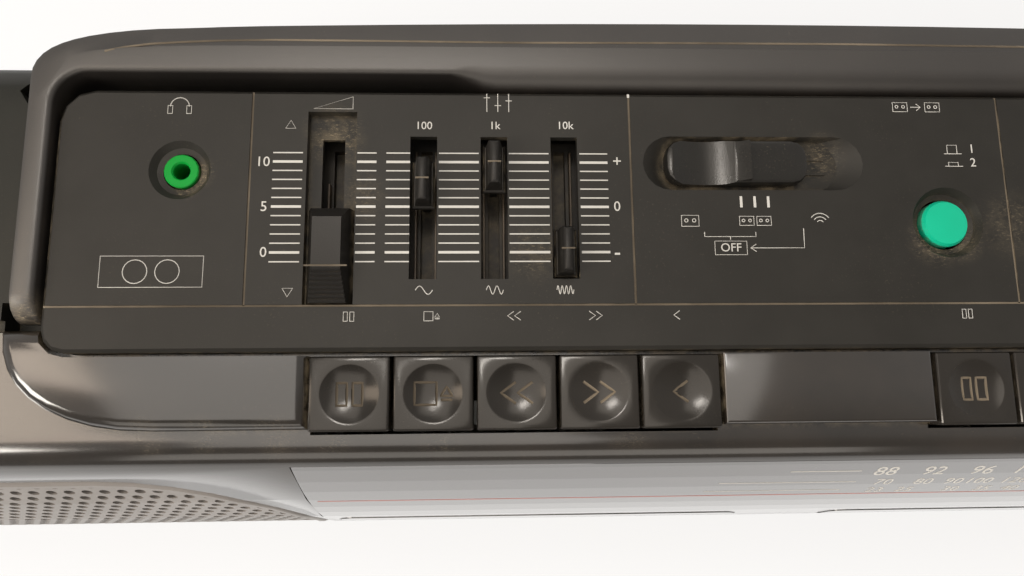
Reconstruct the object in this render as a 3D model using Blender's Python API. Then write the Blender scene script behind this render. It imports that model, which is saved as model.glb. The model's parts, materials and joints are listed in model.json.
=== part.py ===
# Twin-cassette stereo radio recorder, with a carry handle that folds down round its control panel.
# Metres, +Z up, front towards -Y. The origin is on the floor under the middle of the recorder.

import math

import bmesh
import bpy
from mathutils import Matrix, Vector

# Gaps and overruns that every piece shares
SEAT_GAP = 0.0003
RUN_GAP = 0.0005
OVERRUN = 0.004
WELD = 0.000001
CORNER_STEPS = 3
ROUND_STEPS = 16
BARREL_STEPS = 8
SMOOTH_ANGLE = 35

# The body: two shells that meet at a line just behind the keys, with a barrel-shaped front
BODY_WIDTH = 0.570
BODY_TOP = 0.153
FOOT_HEIGHT = 0.003
REAR_Y = 0.053
SPLIT_Y = -0.0099
WALL = 0.0025
LIP_DROP = 0.003
LIP_DEPTH = 0.0078
BARREL_BULGE = 0.0193
END_ROUND = 0.005
REAR_TOP_ROUND = 0.012
REAR_BOTTOM_ROUND = 0.006
FOOT_RADIUS = 0.009
FOOT_X_SHARE = 0.4
FRONT_FOOT_Y = -0.022
REAR_FOOT_Y = 0.036
PARTING_WIDTH = 0.0025
PARTING_DEPTH = 0.0016
PUNCH_DEPTH = 0.030

# The control panel
PANEL_RISE = 0.005
PANEL_TOP = BODY_TOP + PANEL_RISE
PANEL_WIDTH = 0.343
PANEL_FRONT = -0.0148
PANEL_DEPTH = 0.0568
PANEL_REAR = PANEL_FRONT + PANEL_DEPTH
PANEL_PLATE = 0.002
PANEL_SKIRT = 0.0018
PANEL_CHAMFER = 0.0008
PANEL_FRONT_ROUND = 0.005
PANEL_REAR_ROUND = 0.0072
GROOVE_DEPTH = 0.0004
GROOVE_WIDTH = 0.0005
LABEL_GROOVE_Y = PANEL_FRONT + 0.0095
DIVIDER_SHARES = (-0.381, -0.1423, 0.1015, 0.3452)
WELL_WALL = 0.0012
WELL_DEPTH = 0.0025

# The island round the panel: platforms beside the keys, and the trough that holds the handle
PLATFORM_TOP = PANEL_TOP - 0.0004
PLATFORM_HALF = PANEL_WIDTH / 2 + 0.0085
PLATFORM_FRONT = -0.0307
BARREL_FRONT = PLATFORM_FRONT - LIP_DEPTH - BARREL_BULGE
BARREL_Z = (BODY_TOP + FOOT_HEIGHT) / 2
BARREL_HALF = (BODY_TOP - FOOT_HEIGHT) / 2 - LIP_DROP
BARREL_RADIUS = (BARREL_HALF ** 2 + BARREL_BULGE ** 2) / (2 * BARREL_BULGE)
BARREL_Y = BARREL_FRONT + BARREL_RADIUS
PLATFORM_CORNER_WIDTH = 0.032
PLATFORM_CORNER_POWER = 2.3
PLATFORM_CORNER_STEPS = 9
PLATFORM_EDGE = 0.0026
TROUGH_DROP = 0.006
TROUGH_FLOOR = BODY_TOP - TROUGH_DROP
TROUGH_INSIDE_STEP = 0.0003
TROUGH_GAP = 0.0007
NOTCH_DEPTH = 0.0055
NOTCH_FRONT_LENGTH = 0.0115
NOTCH_REAR_LENGTH = 0.009
NOTCH_Y = 0.0440
POCKET_WIDTH = 0.0042
POCKET_LENGTH = 0.0062
POCKET_DEPTH = 0.0068
PANEL_GAP = 0.0008

# The carry handle
ARM_WIDTH = 0.0051
ARM_GAP = 0.0008
HANDLE_RISE = 0.002
HANDLE_TOP = PANEL_TOP + HANDLE_RISE
ARM_BOTTOM = BODY_TOP - 0.003
BAR_BOTTOM = TROUGH_FLOOR + 0.0015
HANDLE_OUTER_X = PANEL_WIDTH / 2 + ARM_GAP + ARM_WIDTH
HANDLE_REAR = -BARREL_FRONT
BAR_GAP = 0.0034
BAR_WIDTH = HANDLE_REAR - PANEL_REAR - BAR_GAP
GRIP_WIDTH = HANDLE_REAR - PANEL_REAR - RUN_GAP
GRIP_HALF = 0.078
GRIP_BLEND = 0.010
HANDLE_CORNER_LENGTH = 0.048
HANDLE_CORNER_WIDTH = 0.014
HANDLE_CORNER_POWER = 0.8
HANDLE_INNER_ROUND = 0.007
HANDLE_EDGE = 0.0012
GRIP_EDGE = 0.006
HANDLE_SLOPE = 0.0008
CREASE_STEP = 0.0006
CREASE_SHARE = 0.48
CREASE_FADE = 0.025
PIVOT_Y = -0.0026
PIVOT_Z = PANEL_TOP - 0.004
BOSS_RADIUS = HANDLE_TOP - PIVOT_Z
PIN_RADIUS = 0.0015
PIN_LENGTH = 0.006
EAR_WIDTH = 0.0038
EAR_LENGTH = 0.009
HANDLE_CORNER_STEPS = 9
HANDLE_TAIL_STEPS = 6
MOST_EDGE_SHARE = 0.45
GRIP_BLEND_SHARES = (0.3, 0.7, 1)
BOSS_STEPS = 5

# The keys of both decks
KEY_PITCH = 0.0172
KEY_GAP = 0.0007
KEY_REAR = PANEL_FRONT - 0.001
KEY_LENGTH = 0.0153
KEY_FRONT = KEY_REAR - KEY_LENGTH
KEY_TOP = PANEL_TOP - 0.0002
KEY_HEIGHT = 0.014
KEY_EDGE = 0.0007
KEY_ROOF = 0.0026
KEY_SIDE = 0.0015
KEY_DISH_RADIUS = 0.00615
KEY_DISH_DEPTH = 0.0011
KEY_DISH_STEPS = 20
KEY_DISH_RINGS = 3
KEY_STEM_WIDTH = 0.005
KEY_STEM_LENGTH = 0.003
KEY_STEM_BOTTOM = 0.123
KEY_ROW_LEFT = -0.1172
KEY_ROW_RIGHT = 0.1179
LEFT_KEYS = ("pause_key_left", "stop_eject_key_left", "fast_forward_key_left", "rewind_key_left",
             "play_key_left")
RIGHT_KEYS = ("pause_key_right", "stop_eject_key_right", "fast_forward_key_right", "rewind_key_right",
              "play_key_right", "record_key_right")
BRIDGE_EDGE = 0.0008

# Sliders: the volume control and the three equaliser bands
SLIDER_TRAVEL = 0.020
SLOT_Y_SHARE = 0.5414
VOLUME_X_SHARE = -0.3309
VOLUME_RECESS_WIDTH = 0.0105
VOLUME_RECESS_LENGTH = 0.0425
VOLUME_SLOT_WIDTH = 0.0048
VOLUME_SLOT_MARGIN = 0.0055
VOLUME_BASE_WIDTH = 0.0098
VOLUME_TOP_WIDTH = 0.006
VOLUME_LENGTH = 0.0204
VOLUME_RISE = 0.0032
VOLUME_SIDE_RISE = 0.0006
VOLUME_RIBS = 8
VOLUME_RIB_PITCH = 0.0009
VOLUME_RIB_DEPTH = 0.0004
VOLUME_RIB_SHARES = (0.35, 0.85)
VOLUME_TAIL = 0.0026
EQ_X_SHARES = (-0.2735, -0.2292, -0.1848)
EQ_NAMES = ("bass_knob", "mid_knob", "treble_knob")
EQ_OFFSETS = (0.0051, 0.0087, -0.010)
EQ_SLOT_WIDTH = 0.0058
EQ_SLOT_LENGTH = 0.0314
EQ_BASE_WIDTH = 0.0048
EQ_BASE_LENGTH = 0.0104
EQ_BASE_HEIGHT = 0.0015
EQ_TOP_WIDTH = 0.0028
EQ_LENGTH = 0.0096
EQ_RISE = 0.0045
STEM_WIDTH = 0.0016
STEM_LENGTH = 0.006
STEM_DEPTH = 0.0022

# Slide switches: function and wave band
SWITCH_LENGTH = 0.049
SWITCH_WIDTH = 0.0122
SWITCH_DEPTH = 0.0025
SWITCH_FLOOR_LENGTH = 0.0396
SWITCH_FLOOR_WIDTH = 0.0116
FUNCTION_X_SHARE = -0.063
SWITCH_Y_SHARE = 0.7166
BAND_X_SHARE = 0.2536
SWITCH_KNOB_LENGTH = 0.0312
SWITCH_KNOB_WIDTH = 0.0098
SWITCH_KNOB_RISE = 0.0014
SWITCH_RIDGE_RISE = 0.0036
SWITCH_RIDGE_WIDTH = 0.0026
SWITCH_DISH_SHARE = 0.5
SWITCH_KNOB_ROUND_SHARE = 0.7
SWITCH_RIDGE_SHARE = 0.9
SWITCH_DISH_DEPTH = 0.0016
SWITCH_END_GAP = 0.0049
SWITCH_STEM_SLOT = 0.018
SWITCH_RIB_WIDTH = 0.0006
SWITCH_RIB_HEIGHT = 0.0004
SWITCH_RIB_SPREAD = 0.0034

# The dub-speed button, the two sockets and the tuning knob
BUTTON_X_SHARE = 0.0607
BUTTON_Y_SHARE = 0.4824
BUTTON_RADIUS = 0.0052
BUTTON_DISH_RADIUS = 0.0079
BUTTON_DISH_DEPTH = 0.0022
BUTTON_TRAVEL = 0.003
BUTTON_LENGTH = 0.0065
BUTTON_CROWN = 0.0005
BUTTON_SINK = 0.0003
SOCKET_Y_SHARE = 0.6831
HEADPHONE_X_SHARE = -0.4239
MICROPHONE_X_SHARE = 0.1545
SOCKET_DISH_RADIUS = 0.0065
SOCKET_DISH_DEPTH = 0.0016
SOCKET_RING_RADIUS = 0.0037
SOCKET_BORE_RADIUS = 0.0018
SOCKET_FLAT_RADIUS = 0.0021
SOCKET_BODY_LENGTH = 0.0135
SOCKET_BASE = 0.0008
DISH_FLOOR = 0.0018
DISH_FLOOR_SHARE = 0.82
TUNING_X_SHARE = 0.4227
TUNING_Y_SHARE = 0.58
TUNING_RADIUS = 0.018
TUNING_RISE = 0.0072
TUNING_SINK = 0.0016
TUNING_FINGER_RADIUS = 0.0052
TUNING_FINGER_DEPTH = 0.0012
TUNING_FINGER_SHARE = 0.6
TUNING_FLUTES = 24
TUNING_FLUTE_DEPTH = 0.0004
TUNING_EDGE = 0.001
TUNING_SHAFT_RADIUS = 0.003
TUNING_SHAFT_LENGTH = 0.014

# The control board under the panel
BOARD_THICK = 0.0016
BOARD_DROP = 0.0164
BOARD_TOP = PANEL_TOP - BOARD_DROP
BOARD_LEFT_SHARE = -0.46
BOARD_RIGHT_SHARE = 0.475
BOARD_FRONT = -0.0035
BOARD_REAR = 0.0375
POT_WIDTH = 0.0082
POT_LENGTH = 0.036
POT_HEIGHT = 0.0065
POT_SLOT = 0.0026
POST_RADIUS = 0.0025
WINDOW_MARGIN = 0.0065

# The dial: a clear strip let into the barrel front, its tray and its pointer
DIAL_HALF = 0.122
DIAL_HEIGHT = 0.037
DIAL_TOP = BODY_TOP - LIP_DROP
DIAL_BOTTOM = DIAL_TOP - DIAL_HEIGHT
DIAL_THICK = 0.002
DIAL_TRAY_DEPTH = 0.005
DIAL_TRAY_WALL = 0.0015
POINTER_X = 0.048
POINTER_WIDTH = 0.0012
POINTER_MARGIN = 0.004
POINTER_FOOT = 0.006
POINTER_FOOT_HEIGHT = 0.003

# Tape decks and their doors; the cassette is the standard compact one
CASSETTE_WIDTH = 0.1004
DOOR_MARGIN = 0.0028
DOOR_WIDTH = CASSETTE_WIDTH + 2 * DOOR_MARGIN
DOOR_SPACING = 0.026
DECK_X = (DOOR_WIDTH + DOOR_SPACING) / 2
DOOR_BOTTOM = 0.018
DOOR_TOP = DIAL_BOTTOM - 0.005
DOOR_CORNER = 0.004
DOOR_BOTTOM_GAP = 0.0018
HINGE_DEPTH = 0.003
HINGE_Z = DOOR_BOTTOM + 0.002
HINGE_PIN_RADIUS = 0.0014
HINGE_PIN_LENGTH = 0.002
HINGE_EAR = 0.0034
HINGE_EAR_RADIUS = 0.0038
WINDOW_WIDTH_SHARE = 0.757
WINDOW_LOW_SHARE = 0.34
WINDOW_HIGH_SHARE = 0.76
WINDOW_CORNER = 0.003
WINDOW_THICK_SHARE = 0.8
CASSETTE_HEIGHT = 0.0638
CASSETTE_THICK = 0.0121
CASSETTE_BOTTOM = DOOR_BOTTOM + 0.012
HUB_HEIGHT = 0.029
HUB_SPACING = 0.0425
RAIL_GAP = 0.0004
RAIL_WALL = 0.0012
RAIL_LIP = 0.004
RAIL_HEIGHT_SHARE = 0.98
LEDGE_THICK = 0.002
CHASSIS_GAP = 0.004
CHASSIS_THICK = 0.0015
CHASSIS_MARGIN = 0.0045
CHASSIS_HALF = DOOR_WIDTH / 2 + CHASSIS_MARGIN
CHASSIS_BOTTOM = 0.008
CHASSIS_TOP = 0.1175
CHASSIS_FLANGE = 0.006
CHASSIS_ROUND = 0.004
LUG_RADIUS = 0.0025
LUG_INSET = 0.0045
SPINDLE_RADIUS = 0.0029
SPINDLE_REACH = 0.0085
SPINDLE_FIN_SHARE = 0.7
SPINDLE_FIN = 0.0016
SPINDLE_FIN_WIDTH = 0.001
SPINDLE_FINS = 3
SPINDLE_DISC_RADIUS = 0.0105
SPINDLE_AXLE_RADIUS = 0.0014
SPINDLE_AXLE_LENGTH = 0.0035
CAPSTAN_OFFSET = 0.025
CAPSTAN_RADIUS = 0.0012
CAPSTAN_DROP = 0.0085
CAPSTAN_REACH = 0.013
FLYWHEEL_RADIUS = 0.0225
FLYWHEEL_THICK = 0.005
FLYWHEEL_GAP = 0.0015
FLYWHEEL_HUB_RADIUS = 0.004
HEAD_TRAVEL = 0.005
HEAD_PLATE_THICK = 0.0015
HEAD_PLATE_HALF = 0.034
HEAD_PLATE_HEIGHT = 0.011
HEAD_WIDTH = 0.0125
HEAD_DEPTH = 0.0105
HEAD_HEIGHT = 0.009
HEAD_ROUND = 0.003
HEAD_NOSE_SHARE = 0.75
PINCH_RADIUS = 0.0062
PINCH_LENGTH = 0.0085
PINCH_PIN_RADIUS = 0.001
MOTOR_RADIUS = 0.0165
MOTOR_LENGTH = 0.025
MOTOR_X = 0.040
MOTOR_Z = 0.033
MOTOR_PULLEY_RADIUS = 0.004
MOTOR_PULLEY_LENGTH = 0.004

# Loudspeakers and grilles at both ends of the front
GRILLE_OUTER = BODY_WIDTH / 2 - 0.012
GRILLE_INNER = DECK_X + DOOR_WIDTH / 2 + 0.005
GRILLE_X = (GRILLE_OUTER + GRILLE_INNER) / 2
GRILLE_TOP = BODY_TOP - 0.010
GRILLE_BOTTOM = 0.018
GRILLE_CORNER = 0.042
GRILLE_CORNER_STEPS = 8
GRILLE_THICK = 0.002
GRILLE_BAND = 0.002
GRILLE_CHAMFER = 0.0011
BAFFLE_THICK = 0.002
BAFFLE_HOLE = 0.0505
BAFFLE_MARGIN = 0.003
SPEAKER_Z = (GRILLE_TOP + GRILLE_BOTTOM) / 2
SPEAKER_FLANGE = 0.0545
SPEAKER_FLANGE_THICK = 0.0017
SPEAKER_DEPTH = 0.038
MAGNET_RADIUS = 0.0285
MAGNET_LENGTH = 0.013
NECK_RADIUS = 0.018
BASKET_WALL = 0.0015
BASKET_WINDOWS = 4
BASKET_WINDOW_WIDTH = 0.026
CONE_RIM = 0.0498
CONE_ROLL = 0.0463
CONE_EDGE = 0.0432
CONE_NECK = 0.013
CONE_DEPTH = 0.015
CONE_THICK = 0.0009
DOME_RISE = 0.005
DOME_MIDDLE_SHARE = 1.3
DOME_EDGE_SHARES = (0.7, 0.65)

# The back: battery bay and door, contacts, mains inlet, transformer, main board, vents and screw wells
BAY_WIDTH_SHARE = 0.4526
BAY_HALF = BODY_WIDTH * BAY_WIDTH_SHARE / 2
BAY_BOTTOM = 0.013
BAY_TOP = 0.085
BAY_FRONT = 0.016
BAY_WALL = 0.002
BAY_LEDGE = 0.003
BATTERY_DOOR_THICK = 0.002
BATTERY_DOOR_ROUND = 0.004
BATTERY_NOTCH_WIDTH = 0.022
BATTERY_NOTCH_HEIGHT = 0.007
BATTERY_NOTCH_DEPTH = 0.0012
BATTERY_RIBS = 5
BATTERY_RIB_SPREAD = 1.6
BATTERY_RIB_DEPTH = 0.001
BATTERY_RIB_WIDTH = 0.0015
CONTACT_THICK = 0.0006
CONTACT_SIDE = 0.028
CONTACT_HEIGHT = 0.062
CONTACT_SPRING_RADIUS = 0.007
CONTACT_SPRING_LENGTH = 0.006
CONTACT_SPRING_TURNS = 3
CONTACT_TAPER = 0.2
CONTACT_GROOVE_SHARES = (0.6, 0.8)
INLET_X_SHARE = -0.4123
INLET_X = INLET_X_SHARE * BODY_WIDTH
INLET_Z = 0.100
INLET_WIDTH = 0.0185
INLET_HEIGHT = 0.0105
INLET_FLANGE = 0.003
INLET_DEPTH = 0.014
INLET_POCKET_WIDTH = 0.0155
INLET_POCKET_HEIGHT = 0.0078
INLET_POCKET_ROUND_SHARE = 0.9
INLET_POCKET_DEPTH = 0.0115
INLET_PIN_RADIUS = 0.0012
INLET_PIN_SPREAD = 0.0043
INLET_PIN_LENGTH = 0.009
TRANSFORMER_X_SHARE = -0.3246
TRANSFORMER_X = TRANSFORMER_X_SHARE * BODY_WIDTH
TRANSFORMER_WIDTH = 0.050
TRANSFORMER_DEPTH = 0.026
TRANSFORMER_HEIGHT = 0.042
TRANSFORMER_Y = 0.026
BOBBIN_MARGIN = 0.009
BOBBIN_PROUD = 0.008
MAIN_BOARD_MARGIN = 0.011
MAIN_BOARD_HALF = BAY_HALF - MAIN_BOARD_MARGIN
MAIN_BOARD_BOTTOM = 0.022
MAIN_BOARD_TOP = 0.084
SINK_X_SHARE = -0.62
SINK_WIDTH = 0.034
SINK_FINS = 5
SINK_DEPTH = 0.009
SINK_HEIGHT = 0.028
CAPACITOR_X_SHARES = (-0.233, -0.031, 0.659)
CAPACITOR_RADIUS = 0.0065
CAPACITOR_LENGTH = 0.0085
VENT_COUNT = 8
VENT_PITCH = 0.006
VENT_WIDTH = 0.0025
VENT_LENGTH = 0.030
VENT_Z = 0.060
SCREW_WELL_RADIUS = 0.004
SCREW_WELL_DEPTH = 0.006
SCREW_HOLE_RADIUS = 0.0016
SCREW_X_SHARE = 0.44
SCREW_LOW_Z = 0.016
SCREW_HIGH_Z = 0.128
SCREW_BOSS_RADIUS = 0.0055

# The telescopic antenna, which hangs in an open step at the right rear corner
ANTENNA_INSET = 0.0115
ANTENNA_STEP_INSET = 0.0195
ANTENNA_X = BODY_WIDTH / 2 - ANTENNA_INSET
ANTENNA_REAR = 0.0055
ANTENNA_Y = REAR_Y - ANTENNA_REAR
ANTENNA_PIVOT_Z = 0.138
ANTENNA_STEP_X = BODY_WIDTH / 2 - ANTENNA_STEP_INSET
ANTENNA_STEP_DEPTH = 0.0105
ANTENNA_STEP_Y = REAR_Y - ANTENNA_STEP_DEPTH
ANTENNA_TUBE_RADIUS = 0.0035
ANTENNA_TUBE_BORE = 0.0026
ANTENNA_TUBE_LENGTH = 0.072
ANTENNA_ROD_RADIUS = 0.0022
ANTENNA_TIP_RADIUS = 0.0034
ANTENNA_TIP_LENGTH = 0.005
ANTENNA_FORK_RADIUS = 0.0048
ANTENNA_FORK_SLOT = 0.0034
ANTENNA_TONGUE = 0.0026
ANTENNA_TONGUE_SHARE = 0.8
ANTENNA_FORK_LENGTH = 0.0095
ANTENNA_SHOULDER = 0.006
ANTENNA_STEM_RADIUS = 0.0028
ANTENNA_STEM_LENGTH = 0.006


# Places behind the barrel front
def barrel_y(z, depth=0):
    return BARREL_Y - math.sqrt((BARREL_RADIUS - depth) ** 2 - (z - BARREL_Z) ** 2)


HINGE_Y = barrel_y(DOOR_BOTTOM) + HINGE_DEPTH
CASSETTE_FRONT = barrel_y(CASSETTE_BOTTOM, WALL) + RAIL_GAP
CASSETTE_REAR = CASSETTE_FRONT + CASSETTE_THICK
CHASSIS_Y = CASSETTE_REAR + CHASSIS_GAP
BAFFLE_FRONT = barrel_y(SPEAKER_Z + BAFFLE_HOLE, GRILLE_THICK) + RUN_GAP


MATERIALS = {
    "cabinet": ((0.052, 0.048, 0.045), 0.35, 0.0),
    "panel": ((0.050, 0.048, 0.045), 0.55, 0.0),
    "handle": ((0.095, 0.085, 0.078), 0.35, 0.0),
    "key": ((0.075, 0.068, 0.062), 0.32, 0.0),
    "knob": ((0.020, 0.019, 0.018), 0.40, 0.0),
    "green": ((0.01, 0.52, 0.29), 0.35, 0.0),
    "grille": ((0.060, 0.056, 0.052), 0.40, 0.0),
    "cone": ((0.030, 0.028, 0.027), 0.85, 0.0),
    "steel": ((0.55, 0.54, 0.52), 0.35, 1.0),
    "plated": ((0.72, 0.71, 0.69), 0.22, 1.0),
    "board": ((0.30, 0.20, 0.09), 0.60, 0.0),
    "clear": ((0.060, 0.060, 0.062), 0.08, 0.0),
    "red": ((0.60, 0.03, 0.02), 0.40, 0.0),
    "rubber": ((0.025, 0.024, 0.024), 0.80, 0.0),
    "spindle": ((0.55, 0.54, 0.50), 0.50, 0.0),
    "laminate": ((0.28, 0.27, 0.25), 0.50, 1.0),
}


def clear_scene():
    for item in list(bpy.data.objects):
        bpy.data.objects.remove(item, do_unlink=True)


def material(name):
    # One Principled material for each finish
    made = bpy.data.materials.get(name)
    if made is None:
        colour, roughness, metallic = MATERIALS[name]
        made = bpy.data.materials.new(name)
        made.use_nodes = True
        shader = made.node_tree.nodes["Principled BSDF"]
        shader.inputs["Base Color"].default_value = (*colour, 1)
        shader.inputs["Roughness"].default_value = roughness
        shader.inputs["Metallic"].default_value = metallic
    return made


def new_solid(name, shape):
    # An object from a finished bmesh, with doubles merged and faces turned outwards
    bmesh.ops.remove_doubles(shape, verts=shape.verts, dist=WELD)
    bmesh.ops.recalc_face_normals(shape, faces=shape.faces)
    mesh = bpy.data.meshes.new(name)
    shape.to_mesh(mesh)
    shape.free()
    solid = bpy.data.objects.new(name, mesh)
    bpy.context.scene.collection.objects.link(solid)
    return solid


def settle(solid):
    # Turns the modifiers of an object into its mesh
    graph = bpy.context.evaluated_depsgraph_get()
    solid.data = bpy.data.meshes.new_from_object(solid.evaluated_get(graph))
    solid.modifiers.clear()


def combine(solid, operation, tools):
    for tool in tools:
        step = solid.modifiers.new(tool.name, "BOOLEAN")
        step.operation = operation
        step.solver = "EXACT"
        step.object = tool
    settle(solid)
    for tool in tools:
        bpy.data.objects.remove(tool, do_unlink=True)
    return solid


def cut(solid, *tools):
    return combine(solid, "DIFFERENCE", tools)


def join(solid, *tools):
    return combine(solid, "UNION", tools)


def finish(solid, name, finish_name, origin=None):
    # Names a piece, gives it its material, and puts its origin on its joint's axis
    solid.name = name
    solid.data.name = name
    solid.data.materials.clear()
    solid.data.materials.append(material(finish_name))
    solid.data.shade_smooth()
    solid.data.set_sharp_from_angle(angle=math.radians(SMOOTH_ANGLE))
    if origin is not None:
        solid.data.transform(Matrix.Translation(-Vector(origin)))
        solid.location = origin
    return solid


def spread(start, end, steps):
    return [start + (end - start) * k / steps for k in range(steps + 1)]


def place(axis, u, v, along):
    # A point from its two places across an axis and its place along it
    return {"X": (along, u, v), "Y": (u, along, v), "Z": (u, v, along)}[axis]


def arc(u, v, radius, start, end, steps=CORNER_STEPS):
    turns = spread(math.radians(start), math.radians(end), steps)
    return [(u + radius * math.cos(turn), v + radius * math.sin(turn)) for turn in turns]


def rectangle(left, low, right, high, radius=0, steps=CORNER_STEPS):
    if radius == 0:
        return [(left, low), (right, low), (right, high), (left, high)]
    outline = arc(right - radius, low + radius, radius, -90, 0, steps)
    outline += arc(right - radius, high - radius, radius, 0, 90, steps)
    outline += arc(left + radius, high - radius, radius, 90, 180, steps)
    return outline + arc(left + radius, low + radius, radius, 180, 270, steps)


def prism(outline, axis, low, high, edge=0, steps=2, taper=1):
    # An outline extruded along an axis, with its far edge rounded and its far end drawn in
    shape = bmesh.new()
    middle = sum(u for u, v in outline) / len(outline)
    near = [shape.verts.new(place(axis, u, v, low)) for u, v in outline]
    far = [shape.verts.new(place(axis, middle + (u - middle) * taper, v, high)) for u, v in outline]
    shape.faces.new(near)
    lid = shape.faces.new(far)
    for k, vertex in enumerate(near):
        following = (k + 1) % len(near)
        shape.faces.new((vertex, near[following], far[following], far[k]))
    if edge:
        bmesh.ops.recalc_face_normals(shape, faces=shape.faces)
        bmesh.ops.bevel(shape, geom=list(lid.edges), offset=edge, segments=steps, profile=0.5,
                        affect="EDGES", clamp_overlap=True)
    return new_solid("prism", shape)


def block(low, high, edge=0, steps=2):
    return prism(rectangle(low[0], low[1], high[0], high[1]), "Z", low[2], high[2], edge, steps)


def rod(axis, centre, radius, low, high, steps=ROUND_STEPS, edge=0):
    # A cylinder along an axis; centre gives its two places across that axis
    outline = arc(centre[0], centre[1], radius, 0, 360, steps)[:-1]
    return prism(outline, axis, low, high, edge, 1)


def loft(rings, closed=False):
    shape = bmesh.new()
    loops = [[shape.verts.new(point) for point in ring] for ring in rings]
    following = loops[1:] + loops[:1] if closed else loops[1:]
    for first, second in zip(loops, following):
        for k in range(len(first)):
            after = (k + 1) % len(first)
            shape.faces.new((first[k], first[after], second[after], second[k]))
    if not closed:
        shape.faces.new(loops[0])
        shape.faces.new(loops[-1])
    return new_solid("loft", shape)


def turned(profile, axis, centre, steps=ROUND_STEPS):
    # A closed profile of (radius, place along the axis) pairs turned about the axis through centre
    rings = []
    for k in range(steps):
        turn = math.tau * k / steps
        ring = [Vector(centre) + Vector(place(axis, radius * math.cos(turn), radius * math.sin(turn), along))
                for radius, along in profile]
        rings.append(ring)
    shape = bmesh.new()
    loops = [[shape.verts.new(point) for point in ring] for ring in rings]
    for first, second in zip(loops, loops[1:] + loops[:1]):
        for k in range(len(first)):
            after = (k + 1) % len(first)
            if profile[k][0] == 0 and profile[after][0] == 0:
                continue
            shape.faces.new((first[k], first[after], second[after], second[k]))
    return new_solid("turned", shape)


def subdivided(outline):
    # The same outline with each long straight side cut into short lengths
    points = []
    for k, (u, v) in enumerate(outline):
        after_u, after_v = outline[(k + 1) % len(outline)]
        steps = BARREL_STEPS if math.hypot(after_u - u, after_v - v) > GRILLE_CORNER / 2 else 1
        points += [(u + (after_u - u) * j / steps, v + (after_v - v) * j / steps) for j in range(steps)]
    return points


def mirrored(points):
    return [(-x, y) for x, y in reversed(points)]


def share_x(share):
    return PANEL_WIDTH * share


def share_y(share):
    return PANEL_FRONT + PANEL_DEPTH * share


# The barrel front and the plates let into it

def barrel_arc(depth, low, high, steps=BARREL_STEPS):
    radius = BARREL_RADIUS - depth
    turns = spread(math.asin((low - BARREL_Z) / radius), math.asin((high - BARREL_Z) / radius), steps)
    return [(BARREL_Y - radius * math.cos(turn), BARREL_Z + radius * math.sin(turn)) for turn in turns]


def barrel_band(left, right, low, high, outside, inside, steps=BARREL_STEPS):
    # A curved slab that lies between two depths behind the barrel front
    outline = barrel_arc(outside, low, high, steps) + barrel_arc(inside, low, high, steps)[::-1]
    return prism(outline, "X", left, right)


def barrel_plate(outline, thick, steps=BARREL_STEPS):
    # A plate of the given front view (x, z) that follows the barrel
    across = [u for u, v in outline]
    upright = [v for u, v in outline]
    band = barrel_band(min(across) - OVERRUN, max(across) + OVERRUN, min(upright) - OVERRUN,
                       max(upright) + OVERRUN, 0, thick, steps)
    return combine(band, "INTERSECT", [front_punch(outline)])


def front_punch(outline):
    return prism(outline, "Y", BARREL_FRONT - OVERRUN, BARREL_FRONT - OVERRUN + PUNCH_DEPTH)


def edge_round(edge_z, plane_z, inset):
    # The round from the barrel into the top or the bottom, tangent to both
    lean = math.asin((edge_z - BARREL_Z) / BARREL_RADIUS)
    radius = abs(plane_z - edge_z) / (1 - abs(math.sin(lean)))
    centre_y = BARREL_Y - (BARREL_RADIUS - radius) * math.cos(lean)
    centre_z = BARREL_Z + (BARREL_RADIUS - radius) * math.sin(lean)
    turns = spread(lean, math.copysign(math.pi / 2, lean), CORNER_STEPS)
    reach = radius - inset
    return [(centre_y - reach * math.cos(turn), centre_z + reach * math.sin(turn)) for turn in turns]


def front_outline(inset, rear):
    # Side view (y, z) of the front cabinet
    low, high = FOOT_HEIGHT + LIP_DROP, BODY_TOP - LIP_DROP
    bottom = edge_round(low, FOOT_HEIGHT, inset)[::-1]
    top = edge_round(high, BODY_TOP, inset)
    middle = barrel_arc(inset, bottom[-1][1], top[0][1])[1:-1]
    return [(rear, FOOT_HEIGHT + inset)] + bottom + middle + top + [(rear, BODY_TOP - inset)]


def rear_outline(inset, front):
    # Side view (y, z) of the rear cabinet
    bottom = arc(REAR_Y - REAR_BOTTOM_ROUND, FOOT_HEIGHT + REAR_BOTTOM_ROUND,
                 REAR_BOTTOM_ROUND - inset, -90, 0)
    top = arc(REAR_Y - REAR_TOP_ROUND, BODY_TOP - REAR_TOP_ROUND,
              REAR_TOP_ROUND - inset, 0, 90, CORNER_STEPS + 1)
    return [(front, FOOT_HEIGHT + inset)] + bottom + top + [(front, BODY_TOP - inset)]


def shell(outline_of, split, opening):
    # Half a cabinet: its outside with rounded ends, less its inside, open where the halves meet
    half = BODY_WIDTH / 2
    shape = bmesh.new()
    outline = outline_of(0, split)
    near = [shape.verts.new((-half, y, z)) for y, z in outline]
    far = [shape.verts.new((half, y, z)) for y, z in outline]
    shape.faces.new(near)
    shape.faces.new(far)
    for k, vertex in enumerate(near):
        after = (k + 1) % len(near)
        shape.faces.new((vertex, near[after], far[after], far[k]))
    bmesh.ops.recalc_face_normals(shape, faces=shape.faces)
    rims = []
    for edge in shape.edges:
        first, second = edge.verts
        on_split = first.co.y == second.co.y == near[0].co.y
        if first.co.x == second.co.x and not on_split:
            rims.append(edge)
    bmesh.ops.bevel(shape, geom=rims, offset=END_ROUND, segments=CORNER_STEPS, profile=0.5, affect="EDGES")
    outside = new_solid("outside", shape)
    inside = prism(outline_of(WALL, opening), "X", -half + WALL, half - WALL)
    return cut(outside, inside)


def foot(x, y):
    return rod("Z", (x, y), FOOT_RADIUS, 0, FOOT_HEIGHT + WALL / 2)


# The front cabinet

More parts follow.
